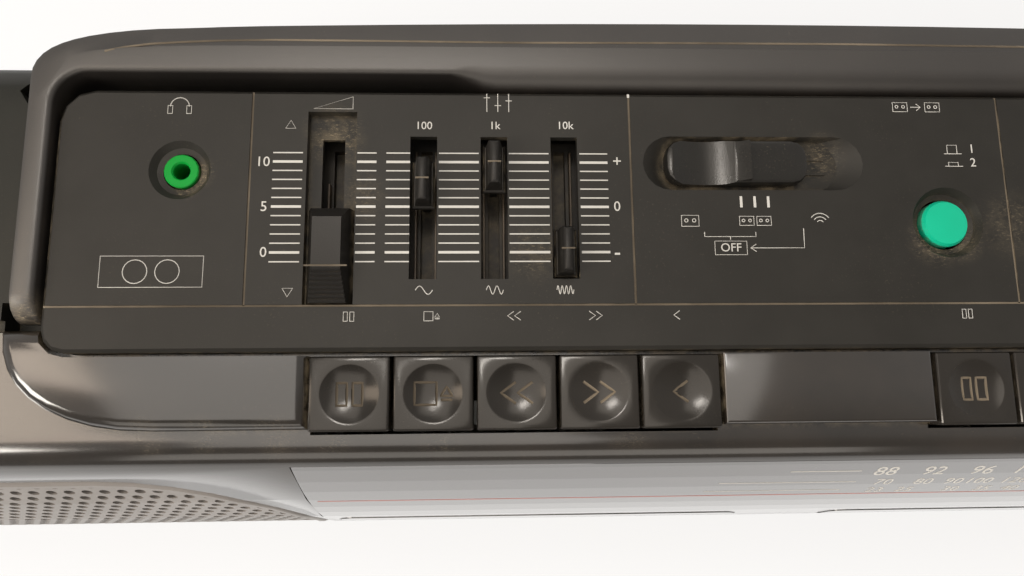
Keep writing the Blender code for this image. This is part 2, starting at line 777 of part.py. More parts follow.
def platform_outline():
    # Plan of the left platform: a straight front that turns back in one wide, squarish curve
    corner_x = -PLATFORM_HALF + PLATFORM_CORNER_WIDTH
    rear = SPLIT_Y
    depth = rear - PLATFORM_FRONT
    outline = [(KEY_ROW_LEFT, rear), (-PLATFORM_HALF, rear)]
    for turn in spread(0, math.pi / 2, PLATFORM_CORNER_STEPS)[1:]:
        across = math.cos(turn) ** (2 / PLATFORM_CORNER_POWER)
        ahead = math.sin(turn) ** (2 / PLATFORM_CORNER_POWER)
        outline.append((corner_x - PLATFORM_CORNER_WIDTH * across, rear - depth * ahead))
    outline.append((KEY_ROW_LEFT, PLATFORM_FRONT))
    return outline


def platform(outline):
    return prism(outline, "Z", BODY_TOP - WALL / 2, PLATFORM_TOP, PLATFORM_EDGE, 3)


def key_row_limits(side):
    # Left and right limits of a deck's keys, measured from the outer end of the row
    if side < 0:
        return KEY_ROW_LEFT, KEY_ROW_LEFT + KEY_PITCH * len(LEFT_KEYS)
    return KEY_ROW_RIGHT - KEY_PITCH * len(RIGHT_KEYS), KEY_ROW_RIGHT


def door_outline(side, gap=0, bottom_gap=0):
    middle = side * DECK_X
    half = DOOR_WIDTH / 2
    return rectangle(middle - half - gap, DOOR_BOTTOM - bottom_gap, middle + half + gap, DOOR_TOP + gap,
                     DOOR_CORNER)


def grille_outline(side, gap=0):
    edges = sorted((side * GRILLE_INNER, side * GRILLE_OUTER))
    return rectangle(edges[0] - gap, GRILLE_BOTTOM - gap, edges[1] + gap, GRILLE_TOP + gap,
                     GRILLE_CORNER + gap, GRILLE_CORNER_STEPS)


def lug_places(side):
    # Where the posts of the front cabinet meet a deck's chassis, as (x, z)
    middle = side * DECK_X
    reach = CHASSIS_HALF - LUG_INSET
    return [(middle + sign * reach, z) for sign in (-1, 1)
            for z in (CHASSIS_BOTTOM + LUG_INSET, CHASSIS_TOP - LUG_INSET)]


def screw_places():
    reach = BODY_WIDTH * SCREW_X_SHARE
    return [(sign * reach, z) for sign in (-1, 1) for z in (SCREW_LOW_Z, SCREW_HIGH_Z)]


def baffle(side):
    # The inner wall that carries a loudspeaker behind its grille
    edges = sorted((side * (GRILLE_INNER + BAFFLE_MARGIN), side * (GRILLE_OUTER + BAFFLE_MARGIN)))
    wall = block((edges[0], BAFFLE_FRONT, FOOT_HEIGHT + WALL / 2),
                 (edges[1], BAFFLE_FRONT + BAFFLE_THICK, BODY_TOP - WALL - LIP_DROP))
    keep = prism(front_outline(WALL / 2, SPLIT_Y), "X", edges[0] - OVERRUN, edges[1] + OVERRUN)
    wall = combine(wall, "INTERSECT", [keep])
    hole = rod("Y", (side * GRILLE_X, SPEAKER_Z), BAFFLE_HOLE, BAFFLE_FRONT - OVERRUN,
               BAFFLE_FRONT + BAFFLE_THICK + OVERRUN, 2 * ROUND_STEPS)
    return cut(wall, hole)


def grille_opening(side):
    # The cut for a grille, and the bevelled frame in front of it
    outline = grille_outline(side, SEAT_GAP)
    slab = barrel_band(-BODY_WIDTH, BODY_WIDTH, GRILLE_BOTTOM - OVERRUN, GRILLE_TOP + OVERRUN, -OVERRUN,
                       WALL + RUN_GAP, 2 * BARREL_STEPS)
    hole = combine(slab, "INTERSECT", [front_punch(outline)])
    wide = subdivided(grille_outline(side, GRILLE_BAND))
    narrow = subdivided(grille_outline(side, -SEAT_GAP))
    sections = []
    for (x, z), (inner_x, inner_z) in zip(wide, narrow):
        sections.append([(x, barrel_y(z) - OVERRUN, z), (x, barrel_y(z), z),
                         (inner_x, barrel_y(inner_z, GRILLE_CHAMFER), inner_z),
                         (inner_x, barrel_y(inner_z) - OVERRUN, inner_z)])
    return hole, loft(sections, True)


def front_cabinet():
    body = shell(front_outline, SPLIT_Y - SEAT_GAP / 2, SPLIT_Y + OVERRUN)
    left = platform_outline()
    bridge_left, bridge_right = key_row_limits(-1)[1], key_row_limits(1)[0]
    bridge = block((bridge_left + KEY_GAP / 2, KEY_FRONT + KEY_GAP, BODY_TOP - WALL / 2),
                   (bridge_right - KEY_GAP / 2, KEY_REAR + KEY_GAP, KEY_TOP), BRIDGE_EDGE)
    dial_tray = barrel_band(-DIAL_HALF - DIAL_TRAY_WALL, DIAL_HALF + DIAL_TRAY_WALL,
                            DIAL_BOTTOM - DIAL_TRAY_WALL, DIAL_TOP + DIAL_TRAY_WALL, WALL / 2,
                            DIAL_TRAY_DEPTH + DIAL_TRAY_WALL)
    join(body, platform(left), platform(mirrored(left)), bridge, dial_tray)
    posts = []
    for side in (-1, 1):
        posts += [rod("Y", spot, LUG_RADIUS, barrel_y(spot[1], WALL) - WALL / 2, CHASSIS_Y - SEAT_GAP, 8)
                  for spot in lug_places(side)]
        for sign in (-1, 1):
            inner = side * DECK_X + sign * (DOOR_WIDTH / 2 + RUN_GAP)
            ends = sorted((inner, inner + sign * HINGE_EAR))
            posts.append(rod("X", (HINGE_Y, HINGE_Z), HINGE_EAR_RADIUS, ends[0], ends[1], 12))
        posts += [foot(side * BODY_WIDTH * FOOT_X_SHARE, FRONT_FOOT_Y), baffle(side)]
    join(body, *posts)
    cuts = [barrel_band(-DIAL_HALF, DIAL_HALF, DIAL_BOTTOM, DIAL_TOP, -OVERRUN, DIAL_TRAY_DEPTH)]
    for side in (-1, 1):
        cuts.append(front_punch(door_outline(side, RUN_GAP, DOOR_BOTTOM_GAP)))
        cuts += grille_opening(side)
        low, high = key_row_limits(side)
        cuts.append(block((low, KEY_FRONT - KEY_GAP, BODY_TOP - 2 * WALL),
                          (high, KEY_REAR + KEY_GAP / 2, PANEL_TOP + OVERRUN)))
        for sign in (-1, 1):
            inner = side * DECK_X + sign * (DOOR_WIDTH / 2)
            ends = sorted((inner, inner + sign * (HINGE_PIN_LENGTH + RUN_GAP)))
            cuts.append(rod("X", (HINGE_Y, HINGE_Z), HINGE_PIN_RADIUS + SEAT_GAP, ends[0], ends[1], 12))
    cuts.append(prism(panel_outline(-PANEL_GAP), "Z", BODY_TOP, PANEL_TOP + OVERRUN))
    cut(body, *cuts)
    return finish(body, "front_cabinet", "cabinet")


# The rear cabinet

def trough_outline(outer, inner, front, inner_rear, rear):
    # Plan of a U that runs round the control panel and is open at its front ends
    return [(-outer, front), (-inner, front), (-inner, inner_rear), (inner, inner_rear), (inner, front),
            (outer, front), (outer, rear), (-outer, rear)]


def antenna_step():
    return block((ANTENNA_STEP_X, ANTENNA_STEP_Y, 0),
                 (BODY_WIDTH / 2 + OVERRUN, REAR_Y + OVERRUN, BODY_TOP + OVERRUN))


def antenna_step_wall():
    wall = block((ANTENNA_STEP_X - WALL, ANTENNA_STEP_Y - WALL, 0),
                 (BODY_WIDTH / 2 + OVERRUN, REAR_Y + OVERRUN, BODY_TOP + OVERRUN))
    keep = prism(rear_outline(WALL / 2, SPLIT_Y), "X", -BODY_WIDTH / 2 + WALL / 2, BODY_WIDTH / 2 - WALL / 2)
    return combine(wall, "INTERSECT", [keep])


def rear_cabinet():
    split = SPLIT_Y + SEAT_GAP / 2
    body = shell(rear_outline, split, SPLIT_Y - OVERRUN)
    outer = HANDLE_OUTER_X + TROUGH_GAP
    inner = PANEL_WIDTH / 2 - TROUGH_INSIDE_STEP
    inner_rear = PANEL_REAR - TROUGH_INSIDE_STEP
    floor_outline = trough_outline(outer + WALL, inner - WALL, split + RUN_GAP, inner_rear - WALL,
                                   REAR_Y - WALL / 2)
    trough_floor = prism(floor_outline, "Z", TROUGH_FLOOR - WALL, BODY_TOP - WALL / 2)
    bay = block((-BAY_HALF - BAY_WALL, BAY_FRONT - BAY_WALL, BAY_BOTTOM - BAY_WALL),
                (BAY_HALF + BAY_WALL, REAR_Y - WALL / 2, BAY_TOP + BAY_WALL))
    additions = [trough_floor, bay, antenna_step_wall()]
    for side in (-1, 1):
        edges = sorted((side * (outer + WALL / 2), side * (outer + POCKET_WIDTH + WALL)))
        additions.append(block((edges[0], split + SEAT_GAP, BODY_TOP - POCKET_DEPTH - WALL),
                               (edges[1], SPLIT_Y + POCKET_LENGTH + WALL, BODY_TOP - SEAT_GAP)))
        edges = sorted((side * (inner - TROUGH_INSIDE_STEP), side * (inner - PANEL_SKIRT - EAR_WIDTH)))
        ear_edges = sorted((side * (inner - PANEL_SKIRT), side * (inner - PANEL_SKIRT - EAR_WIDTH)))
        additions.append(block((ear_edges[0], PIVOT_Y - EAR_LENGTH / 2, BODY_TOP - WALL / 2),
                               (ear_edges[1], PIVOT_Y + EAR_LENGTH / 2, PIVOT_Z + PIN_RADIUS)))
        additions.append(foot(side * BODY_WIDTH * FOOT_X_SHARE, REAR_FOOT_Y))
        additions.append(block((edges[0], PIVOT_Y - EAR_LENGTH / 2, TROUGH_FLOOR - WALL / 2),
                               (edges[1], PIVOT_Y + EAR_LENGTH / 2, BODY_TOP - WALL / 2 - SEAT_GAP)))
    for x, z in screw_places():
        additions.append(rod("Y", (x, z), SCREW_BOSS_RADIUS, split + OVERRUN, REAR_Y - WALL / 2, 10))
    join(body, *additions)
    cuts = [prism(trough_outline(outer, inner, SPLIT_Y - OVERRUN, inner_rear, REAR_Y + OVERRUN), "Z",
                  TROUGH_FLOOR, BODY_TOP + OVERRUN)]
    cuts.append(block((-BAY_HALF + BAY_LEDGE, BAY_FRONT, BAY_BOTTOM + BAY_LEDGE),
                      (BAY_HALF - BAY_LEDGE, REAR_Y + OVERRUN, BAY_TOP - BAY_LEDGE)))
    cuts.append(block((-BAY_HALF, BAY_FRONT, BAY_BOTTOM),
                      (BAY_HALF, REAR_Y - BATTERY_DOOR_THICK - BAY_LEDGE, BAY_TOP)))
    cuts.append(prism(battery_outline(0), "Y", REAR_Y - BATTERY_DOOR_THICK, REAR_Y + OVERRUN))
    for side in (-1, 1):
        under = side * (outer - NOTCH_DEPTH / 2)
        notch = [(under, NOTCH_Y - NOTCH_FRONT_LENGTH), (side * (outer + NOTCH_DEPTH), NOTCH_Y),
                 (under, NOTCH_Y + NOTCH_REAR_LENGTH)]
        cuts.append(prism(notch, "Z", TROUGH_FLOOR + WALL, BODY_TOP + OVERRUN))
        edges = sorted((side * (outer - WALL / 2), side * (outer + POCKET_WIDTH)))
        cuts.append(block((edges[0], SPLIT_Y - OVERRUN, BODY_TOP - POCKET_DEPTH),
                          (edges[1], SPLIT_Y + POCKET_LENGTH, BODY_TOP + OVERRUN)))
        edges = sorted((side * (inner + 2 * TROUGH_GAP), side * (BODY_WIDTH / 2 + OVERRUN)))
        cuts.append(block((edges[0], SPLIT_Y - OVERRUN, BODY_TOP - PARTING_DEPTH),
                          (edges[1], SPLIT_Y + PARTING_WIDTH, BODY_TOP + OVERRUN)))
    window_half = inner - PANEL_SKIRT - EAR_WIDTH - SEAT_GAP
    cuts.append(block((-window_half, BOARD_FRONT - RUN_GAP, BODY_TOP - TROUGH_DROP),
                      (window_half, inner_rear - WINDOW_MARGIN + WALL, BODY_TOP + OVERRUN)))
    for side in (-1, 1):
        edges = sorted((side * (inner + RUN_GAP), side * (inner - PANEL_SKIRT - EAR_WIDTH - OVERRUN)))
        cuts.append(rod("X", (PIVOT_Y, PIVOT_Z), PIN_RADIUS + SEAT_GAP, edges[0], edges[1], 12))
        cuts.append(block((edges[0], PIVOT_Y - PIN_RADIUS - SEAT_GAP, PIVOT_Z),
                          (edges[1], PIVOT_Y + PIN_RADIUS + SEAT_GAP, PANEL_TOP)))
    cuts.append(antenna_step())
    cuts.append(rod("Y", (ANTENNA_X, ANTENNA_PIVOT_Z), ANTENNA_STEM_RADIUS + SEAT_GAP, split,
                    ANTENNA_STEP_Y + OVERRUN, 12))
    cuts.append(prism(rectangle(INLET_X - INLET_WIDTH / 2 - SEAT_GAP, INLET_Z - INLET_HEIGHT / 2 - SEAT_GAP,
                                INLET_X + INLET_WIDTH / 2 + SEAT_GAP, INLET_Z + INLET_HEIGHT / 2 + SEAT_GAP),
                      "Y", REAR_Y - WALL - OVERRUN, REAR_Y + OVERRUN))
    for k in range(VENT_COUNT):
        x = TRANSFORMER_X + (k - (VENT_COUNT - 1) / 2) * VENT_PITCH
        cuts.append(block((x - VENT_WIDTH / 2, REAR_Y - WALL - OVERRUN, VENT_Z - VENT_LENGTH / 2),
                          (x + VENT_WIDTH / 2, REAR_Y + OVERRUN, VENT_Z + VENT_LENGTH / 2)))
    for x, z in screw_places():
        cuts.append(rod("Y", (x, z), SCREW_WELL_RADIUS, REAR_Y - SCREW_WELL_DEPTH, REAR_Y + OVERRUN, 12))
        cuts.append(rod("Y", (x, z), SCREW_HOLE_RADIUS, split, REAR_Y, 8))
    cut(body, *cuts)
    return finish(body, "rear_cabinet", "cabinet")


# The control panel

def switch_recess(x, low, high, margin=0):
    half, width = SWITCH_LENGTH / 2 + margin, SWITCH_WIDTH / 2 + margin
    y = share_y(SWITCH_Y_SHARE)
    return prism(rectangle(x - half, y - width, x + half, y + width, width, 5), "Z", low, high)


def switch_dish(x):
    # The recess round a slide switch, with its ends and sides sloping down to a flat floor
    y = share_y(SWITCH_Y_SHARE)
    rings = []
    for length, width, z in ((SWITCH_FLOOR_LENGTH, SWITCH_FLOOR_WIDTH, PANEL_TOP - SWITCH_DEPTH),
                             (SWITCH_LENGTH, SWITCH_WIDTH, PANEL_TOP),
                             (SWITCH_LENGTH, SWITCH_WIDTH, PANEL_TOP + OVERRUN)):
        outline = rectangle(x - length / 2, y - width / 2, x + length / 2, y + width / 2, width / 2, 5)
        rings.append([(u, v, z) for u, v in outline])
    return loft(rings)


def dish(x, y, radius, depth, hole, bottom):
    # A round bowl in the panel with a hole through its middle
    profile = [(0, PANEL_TOP + OVERRUN), (0, bottom), (hole, bottom), (hole, PANEL_TOP - depth),
               (hole + (radius - hole) / 2, PANEL_TOP - depth * DISH_FLOOR_SHARE), (radius, PANEL_TOP),
               (radius, PANEL_TOP + OVERRUN)]
    return turned(profile, "Z", (x, y, 0), 2 * ROUND_STEPS)


def panel_outline(inset):
    half = PANEL_WIDTH / 2 - inset
    low, high = PANEL_FRONT + inset, PANEL_REAR - inset
    front, rear = PANEL_FRONT_ROUND - inset, PANEL_REAR_ROUND - inset
    return (arc(half - front, low + front, front, -90, 0) + arc(half - rear, high - rear, rear, 0, 90)
            + arc(-half + rear, high - rear, rear, 90, 180)
            + arc(-half + front, low + front, front, 180, 270))


def control_panel():
    under = PANEL_TOP - PANEL_PLATE
    plate = prism(panel_outline(0), "Z", BODY_TOP + SEAT_GAP, PANEL_TOP, PANEL_CHAMFER, 1)
    cut(plate, prism(panel_outline(PANEL_SKIRT), "Z", BODY_TOP - OVERRUN, under))
    slot_y = share_y(SLOT_Y_SHARE)
    volume_x = share_x(VOLUME_X_SHARE)
    function_x, band_x = share_x(FUNCTION_X_SHARE), share_x(BAND_X_SHARE)
    socket_y = share_y(SOCKET_Y_SHARE)
    button = (share_x(BUTTON_X_SHARE), share_y(BUTTON_Y_SHARE))
    tuning = (share_x(TUNING_X_SHARE), share_y(TUNING_Y_SHARE))
    well_floor = PANEL_TOP - WELL_DEPTH - WELL_WALL
    half_width, half_length = VOLUME_RECESS_WIDTH / 2, VOLUME_RECESS_LENGTH / 2
    wells = [block((volume_x - half_width - WELL_WALL, slot_y - half_length - WELL_WALL, well_floor),
                   (volume_x + half_width + WELL_WALL, slot_y + half_length + WELL_WALL, under + WELL_WALL))]
    for x in (function_x, band_x):
        wells.append(switch_recess(x, well_floor, under + WELL_WALL, WELL_WALL))
    for share in (HEADPHONE_X_SHARE, MICROPHONE_X_SHARE):
        wells.append(rod("Z", (share_x(share), socket_y), SOCKET_DISH_RADIUS + WELL_WALL,
                         PANEL_TOP - SOCKET_DISH_DEPTH - DISH_FLOOR, under + WELL_WALL))
    wells.append(rod("Z", button, BUTTON_DISH_RADIUS + WELL_WALL, PANEL_TOP - BUTTON_DISH_DEPTH - DISH_FLOOR,
                     under + WELL_WALL))
    wells.append(rod("Z", tuning, TUNING_RADIUS + 2 * WELL_WALL, well_floor, under + WELL_WALL,
                     2 * ROUND_STEPS))
    for x, y in post_places():
        wells.append(rod("Z", (x, y), POST_RADIUS, BOARD_TOP + SEAT_GAP, under + WELL_WALL, 8))
    join(plate, *wells)
    floor = PANEL_TOP - WELL_DEPTH
    top = PANEL_TOP + OVERRUN
    bottom = BODY_TOP - OVERRUN
    cuts = [block((volume_x - half_width, slot_y - half_length, floor),
                  (volume_x + half_width, slot_y + half_length, top)),
            block((volume_x - VOLUME_SLOT_WIDTH / 2, slot_y - half_length + VOLUME_SLOT_MARGIN, bottom),
                  (volume_x + VOLUME_SLOT_WIDTH / 2, slot_y + half_length - VOLUME_SLOT_MARGIN, top))]
    for share in EQ_X_SHARES:
        x = share_x(share)
        cuts.append(block((x - EQ_SLOT_WIDTH / 2, slot_y - EQ_SLOT_LENGTH / 2, bottom),
                          (x + EQ_SLOT_WIDTH / 2, slot_y + EQ_SLOT_LENGTH / 2, top)))
    switch_y = share_y(SWITCH_Y_SHARE)
    for x in (function_x, band_x):
        cuts.append(switch_dish(x))
        cuts.append(block((x - SWITCH_STEM_SLOT / 2, switch_y - STEM_WIDTH, bottom),
                          (x + SWITCH_STEM_SLOT / 2, switch_y + STEM_WIDTH, top)))
    for share in (HEADPHONE_X_SHARE, MICROPHONE_X_SHARE):
        cuts.append(dish(share_x(share), socket_y, SOCKET_DISH_RADIUS, SOCKET_DISH_DEPTH,
                         SOCKET_RING_RADIUS + SEAT_GAP, bottom))
    cuts.append(dish(*button, BUTTON_DISH_RADIUS, BUTTON_DISH_DEPTH, BUTTON_RADIUS + RUN_GAP, bottom))
    cuts.append(rod("Z", tuning, TUNING_RADIUS + WELL_WALL, PANEL_TOP - TUNING_SINK, top, 2 * ROUND_STEPS))
    cuts.append(rod("Z", tuning, TUNING_SHAFT_RADIUS + RUN_GAP, bottom, top))
    groove_floor = PANEL_TOP - GROOVE_DEPTH
    half = GROOVE_WIDTH / 2
    cuts.append(block((-PANEL_WIDTH, LABEL_GROOVE_Y - half, groove_floor),
                      (PANEL_WIDTH, LABEL_GROOVE_Y + half, top)))
    for share in DIVIDER_SHARES:
        x = share_x(share)
        cuts.append(block((x - half, LABEL_GROOVE_Y, groove_floor), (x + half, PANEL_REAR + OVERRUN, top)))
    for side in (-1, 1):
        edges = sorted((side * (PANEL_WIDTH / 2 - PANEL_SKIRT - OVERRUN / 2),
                        side * (PANEL_WIDTH / 2 + OVERRUN)))
        cuts.append(block((edges[0], PIVOT_Y - PIN_RADIUS - RUN_GAP, BODY_TOP - OVERRUN),
                          (edges[1], PIVOT_Y + PIN_RADIUS + RUN_GAP, under)))
    cut(plate, *cuts)
    ribs = []
    for x in (function_x, band_x):
        for sign in (-1, 1):
            y = switch_y + sign * SWITCH_RIB_SPREAD / 2
            edges = (x + SWITCH_STEM_SLOT / 2 + SWITCH_RIB_WIDTH,
                     x + SWITCH_FLOOR_LENGTH / 2 - SWITCH_WIDTH / 4)
            ribs.append(block((edges[0], y - SWITCH_RIB_WIDTH / 2, PANEL_TOP - SWITCH_DEPTH - SEAT_GAP),
                              (edges[1], y + SWITCH_RIB_WIDTH / 2,
                               PANEL_TOP - SWITCH_DEPTH + SWITCH_RIB_HEIGHT)))
    join(plate, *ribs)
    return finish(plate, "control_panel", "panel")


def post_places():
    # The four posts of the panel that the control board hangs from
    left, right = share_x(BOARD_LEFT_SHARE) + 2 * POST_RADIUS, share_x(BOARD_RIGHT_SHARE) - 2 * POST_RADIUS
    low, high = BOARD_FRONT + 2 * POST_RADIUS, BOARD_REAR - 2 * POST_RADIUS
    return [(x, y) for x in (left, right) for y in (low, high)]


# The carry handle

def handle_ring(x, y, inward, width, bottom, top, inner_edge, share):
    # One section of the handle: inward is the plan direction from its outer to its inner side, and share is
    # how far the crease along its top has come in
    edge = min(HANDLE_EDGE, width * MOST_EDGE_SHARE, (top - bottom) * MOST_EDGE_SHARE)
    inner_edge = min(inner_edge, (top - bottom) * MOST_EDGE_SHARE)
    crease = min(width, BAR_WIDTH) * CREASE_SHARE
    outer_top = top - CREASE_STEP * share
    section = arc(edge, bottom + edge, edge, 180, 270, 2)
    section += arc(width - edge, bottom + edge, edge, 270, 360, 2)
    section += arc(width - inner_edge, top - inner_edge, inner_edge, 0, 90, 4)
    section += [(crease + CREASE_STEP / 2, top), (crease, outer_top)]
    section += arc(edge, outer_top - HANDLE_SLOPE * share - edge, edge, 90, 180, 2)
    return [(x + inward[0] * across, y + inward[1] * across, z) for across, z in section]


def handle_corner():
    # Pairs of an outer and an inner point round the handle's rear left corner: outside it draws in slowly
    # along the bar, and inside it is a small quarter circle
    inner_x = -HANDLE_OUTER_X + ARM_WIDTH + HANDLE_INNER_ROUND
    inner_y = HANDLE_REAR - BAR_WIDTH - HANDLE_INNER_ROUND
    start_y = HANDLE_REAR - HANDLE_CORNER_WIDTH
    pairs = []
    turns = [0, 0] + spread(0, math.pi / 4, HANDLE_CORNER_STEPS - 2)
    turns += spread(math.pi / 4, math.pi / 2, HANDLE_TAIL_STEPS)[1:]
    for step, turn in enumerate(turns):
        x = -HANDLE_OUTER_X + HANDLE_CORNER_LENGTH * (1 - math.cos(turn) ** HANDLE_CORNER_POWER)
        y = start_y + HANDLE_CORNER_WIDTH * math.sin(turn) ** HANDLE_CORNER_POWER
        if step < 2:
            y = inner_y + (start_y - inner_y) * step / 2
        inner_turn = math.pi / 2 * min(step / HANDLE_CORNER_STEPS, 1)
        inner = (inner_x - HANDLE_INNER_ROUND * math.cos(inner_turn),
                 inner_y + HANDLE_INNER_ROUND * math.sin(inner_turn))
        if step > HANDLE_CORNER_STEPS:
            inner = (x, inner[1])
        pairs.append(((x, y), inner))
    return pairs


def handle_half():
    # Sections from the left pivot boss round the corner to the middle of the grip
    rings = []
    for turn in spread(math.radians(12), math.pi / 2, BOSS_STEPS):
        y = PIVOT_Y - BOSS_RADIUS * math.cos(turn)
        reach = BOSS_RADIUS * math.sin(turn)
        rings.append(handle_ring(-HANDLE_OUTER_X, y, (1, 0), ARM_WIDTH, PIVOT_Z - reach, PIVOT_Z + reach,
                                 HANDLE_EDGE, 0))
    rings.append(handle_ring(-HANDLE_OUTER_X, PIVOT_Y + BOSS_RADIUS, (1, 0), ARM_WIDTH, ARM_BOTTOM,
                             HANDLE_TOP, HANDLE_EDGE, 0))
    for step, (outer, inner) in enumerate(handle_corner()):
        share = min(step / HANDLE_CORNER_STEPS, 1)
        bottom = ARM_BOTTOM + (BAR_BOTTOM - ARM_BOTTOM) * share
        width = math.dist(outer, inner)
        inward = ((inner[0] - outer[0]) / width, (inner[1] - outer[1]) / width)
        crease = (outer[0] + HANDLE_OUTER_X - HANDLE_CORNER_WIDTH / 2) / CREASE_FADE
        rings.append(handle_ring(*outer, inward, width, bottom, HANDLE_TOP, HANDLE_EDGE,
                                 min(max(crease, 0), 1)))
    rings.append(handle_ring(-GRIP_HALF - GRIP_BLEND, HANDLE_REAR, (0, -1), BAR_WIDTH, BAR_BOTTOM, HANDLE_TOP,
                             HANDLE_EDGE, 1))
    for share in GRIP_BLEND_SHARES:
        width = BAR_WIDTH + (GRIP_WIDTH - BAR_WIDTH) * share ** 2 * (3 - 2 * share)
        edge = HANDLE_EDGE + (GRIP_EDGE - HANDLE_EDGE) * share
        rings.append(handle_ring(-GRIP_HALF - GRIP_BLEND * (1 - share), HANDLE_REAR, (0, -1), width,
                                 BAR_BOTTOM, HANDLE_TOP, edge, 1))
    return rings


def carry_handle():
    left = handle_half()
    right = [[(-x, y, z) for x, y, z in ring] for ring in reversed(left)]
    body = loft(left + right)
    inner = HANDLE_OUTER_X - ARM_WIDTH
    pins = []
    for side in (-1, 1):
        edges = sorted((side * (inner + ARM_WIDTH / 2), side * (inner - PIN_LENGTH)))
        pins.append(rod("X", (PIVOT_Y, PIVOT_Z), PIN_RADIUS, edges[0], edges[1], 12))
    join(body, *pins)
    return finish(body, "carry_handle", "handle", (0, PIVOT_Y, PIVOT_Z))


# Keys and the other controls

def key(name, x):
    half = (KEY_PITCH - KEY_GAP) / 2
    bottom = KEY_TOP - KEY_HEIGHT
    body = block((x - half, KEY_FRONT, bottom), (x + half, KEY_REAR, KEY_TOP), KEY_EDGE)
    y = (KEY_FRONT + KEY_REAR) / 2
    cut(body, block((x - half + KEY_SIDE, KEY_FRONT + KEY_SIDE, bottom - OVERRUN),
                    (x + half - KEY_SIDE, KEY_REAR - KEY_SIDE, KEY_TOP - KEY_ROOF)))
    ball = (KEY_DISH_RADIUS ** 2 + KEY_DISH_DEPTH ** 2) / (2 * KEY_DISH_DEPTH)
    profile = [(0, KEY_TOP + OVERRUN)]
    for share in spread(0, 1, KEY_DISH_RINGS):
        radius = KEY_DISH_RADIUS * share
        profile.append((radius, KEY_TOP - KEY_DISH_DEPTH + ball - math.sqrt(ball ** 2 - radius ** 2)))
    profile.append((KEY_DISH_RADIUS, KEY_TOP + OVERRUN))
    cut(body, turned(profile, "Z", (x, y, 0), KEY_DISH_STEPS))
    join(body, block((x - KEY_STEM_WIDTH / 2, y - KEY_STEM_LENGTH / 2, KEY_STEM_BOTTOM),
                     (x + KEY_STEM_WIDTH / 2, y + KEY_STEM_LENGTH / 2, KEY_TOP - KEY_ROOF + KEY_SIDE / 2)))
    return finish(body, name, "key", (x, y, KEY_TOP))


def keys():
    for side, names in ((-1, LEFT_KEYS), (1, RIGHT_KEYS)):
        low = key_row_limits(side)[0]
        for k, name in enumerate(names):
            key(name, low + KEY_PITCH * (k + 0.5))


def volume_knob():
    x = share_x(VOLUME_X_SHARE)
    low = share_y(SLOT_Y_SHARE) - VOLUME_RECESS_LENGTH / 2 + RUN_GAP
    base = PANEL_TOP - WELL_DEPTH + SEAT_GAP
    shoulder, top = PANEL_TOP + VOLUME_SIDE_RISE, PANEL_TOP + VOLUME_RISE
    slope = VOLUME_RIBS * VOLUME_RIB_PITCH
    outline = [(low, base), (low, shoulder)]
    for k in range(VOLUME_RIBS):
        start = k / VOLUME_RIBS
        rise = shoulder + (top - shoulder) * (start + 1 / VOLUME_RIBS)
        outline.append((low + VOLUME_RIB_PITCH * (k + VOLUME_RIB_SHARES[0]), rise))
        outline.append((low + VOLUME_RIB_PITCH * (k + VOLUME_RIB_SHARES[1]), rise - VOLUME_RIB_DEPTH / 2))
    high = low + VOLUME_LENGTH
    outline += [(low + slope + VOLUME_RIB_PITCH, top), (high - VOLUME_TAIL, top),
                (high, PANEL_TOP), (high, base)]
    shape = bmesh.new()
    ends = []
    for side in (-1, 1):
        loop = []
        for y, z in outline:
            share = (z - base) / (top - base)
            half = (VOLUME_BASE_WIDTH + (VOLUME_TOP_WIDTH - VOLUME_BASE_WIDTH) * share) / 2
            loop.append(shape.verts.new((x + side * half, y, z)))
        ends.append(loop)
    shape.faces.new(ends[0])
    shape.faces.new(ends[1])
    for k in range(len(outline)):
        after = (k + 1) % len(outline)
        shape.faces.new((ends[0][k], ends[0][after], ends[1][after], ends[1][k]))
    body = new_solid("volume", shape)
    middle = low + VOLUME_LENGTH / 2
    join(body, block((x - STEM_WIDTH / 2, middle - STEM_LENGTH / 2, pot_top() - STEM_DEPTH),
                     (x + STEM_WIDTH / 2, middle + STEM_LENGTH / 2, base + STEM_WIDTH / 2)))
    return finish(body, "volume_knob", "knob", (x, middle, PANEL_TOP))


def pot_top():
    return BOARD_TOP + POT_HEIGHT


def equaliser_knob(name, x, offset):
    y = share_y(SLOT_Y_SHARE) + offset
    base = PANEL_TOP - PANEL_PLATE
    body = block((x - EQ_BASE_WIDTH / 2, y - EQ_BASE_LENGTH / 2, base),
                 (x + EQ_BASE_WIDTH / 2, y + EQ_BASE_LENGTH / 2, base + EQ_BASE_HEIGHT),
                 EQ_BASE_HEIGHT / 3, 1)
    top = PANEL_TOP + EQ_RISE
    blade = prism(rectangle(x - EQ_BASE_WIDTH / 2 + EQ_BASE_HEIGHT / 3, y - EQ_LENGTH / 2,
                            x + EQ_BASE_WIDTH / 2 - EQ_BASE_HEIGHT / 3, y + EQ_LENGTH / 2), "Z",
                  base + EQ_BASE_HEIGHT / 2, top, EQ_BASE_HEIGHT / 2, 2, EQ_TOP_WIDTH / EQ_BASE_WIDTH)
    stem = block((x - STEM_WIDTH / 2, y - STEM_LENGTH / 2, pot_top() - STEM_DEPTH),
                 (x + STEM_WIDTH / 2, y + STEM_LENGTH / 2, base + EQ_BASE_HEIGHT / 2))
    join(body, blade, stem)
    return finish(body, name, "knob", (x, y, PANEL_TOP))


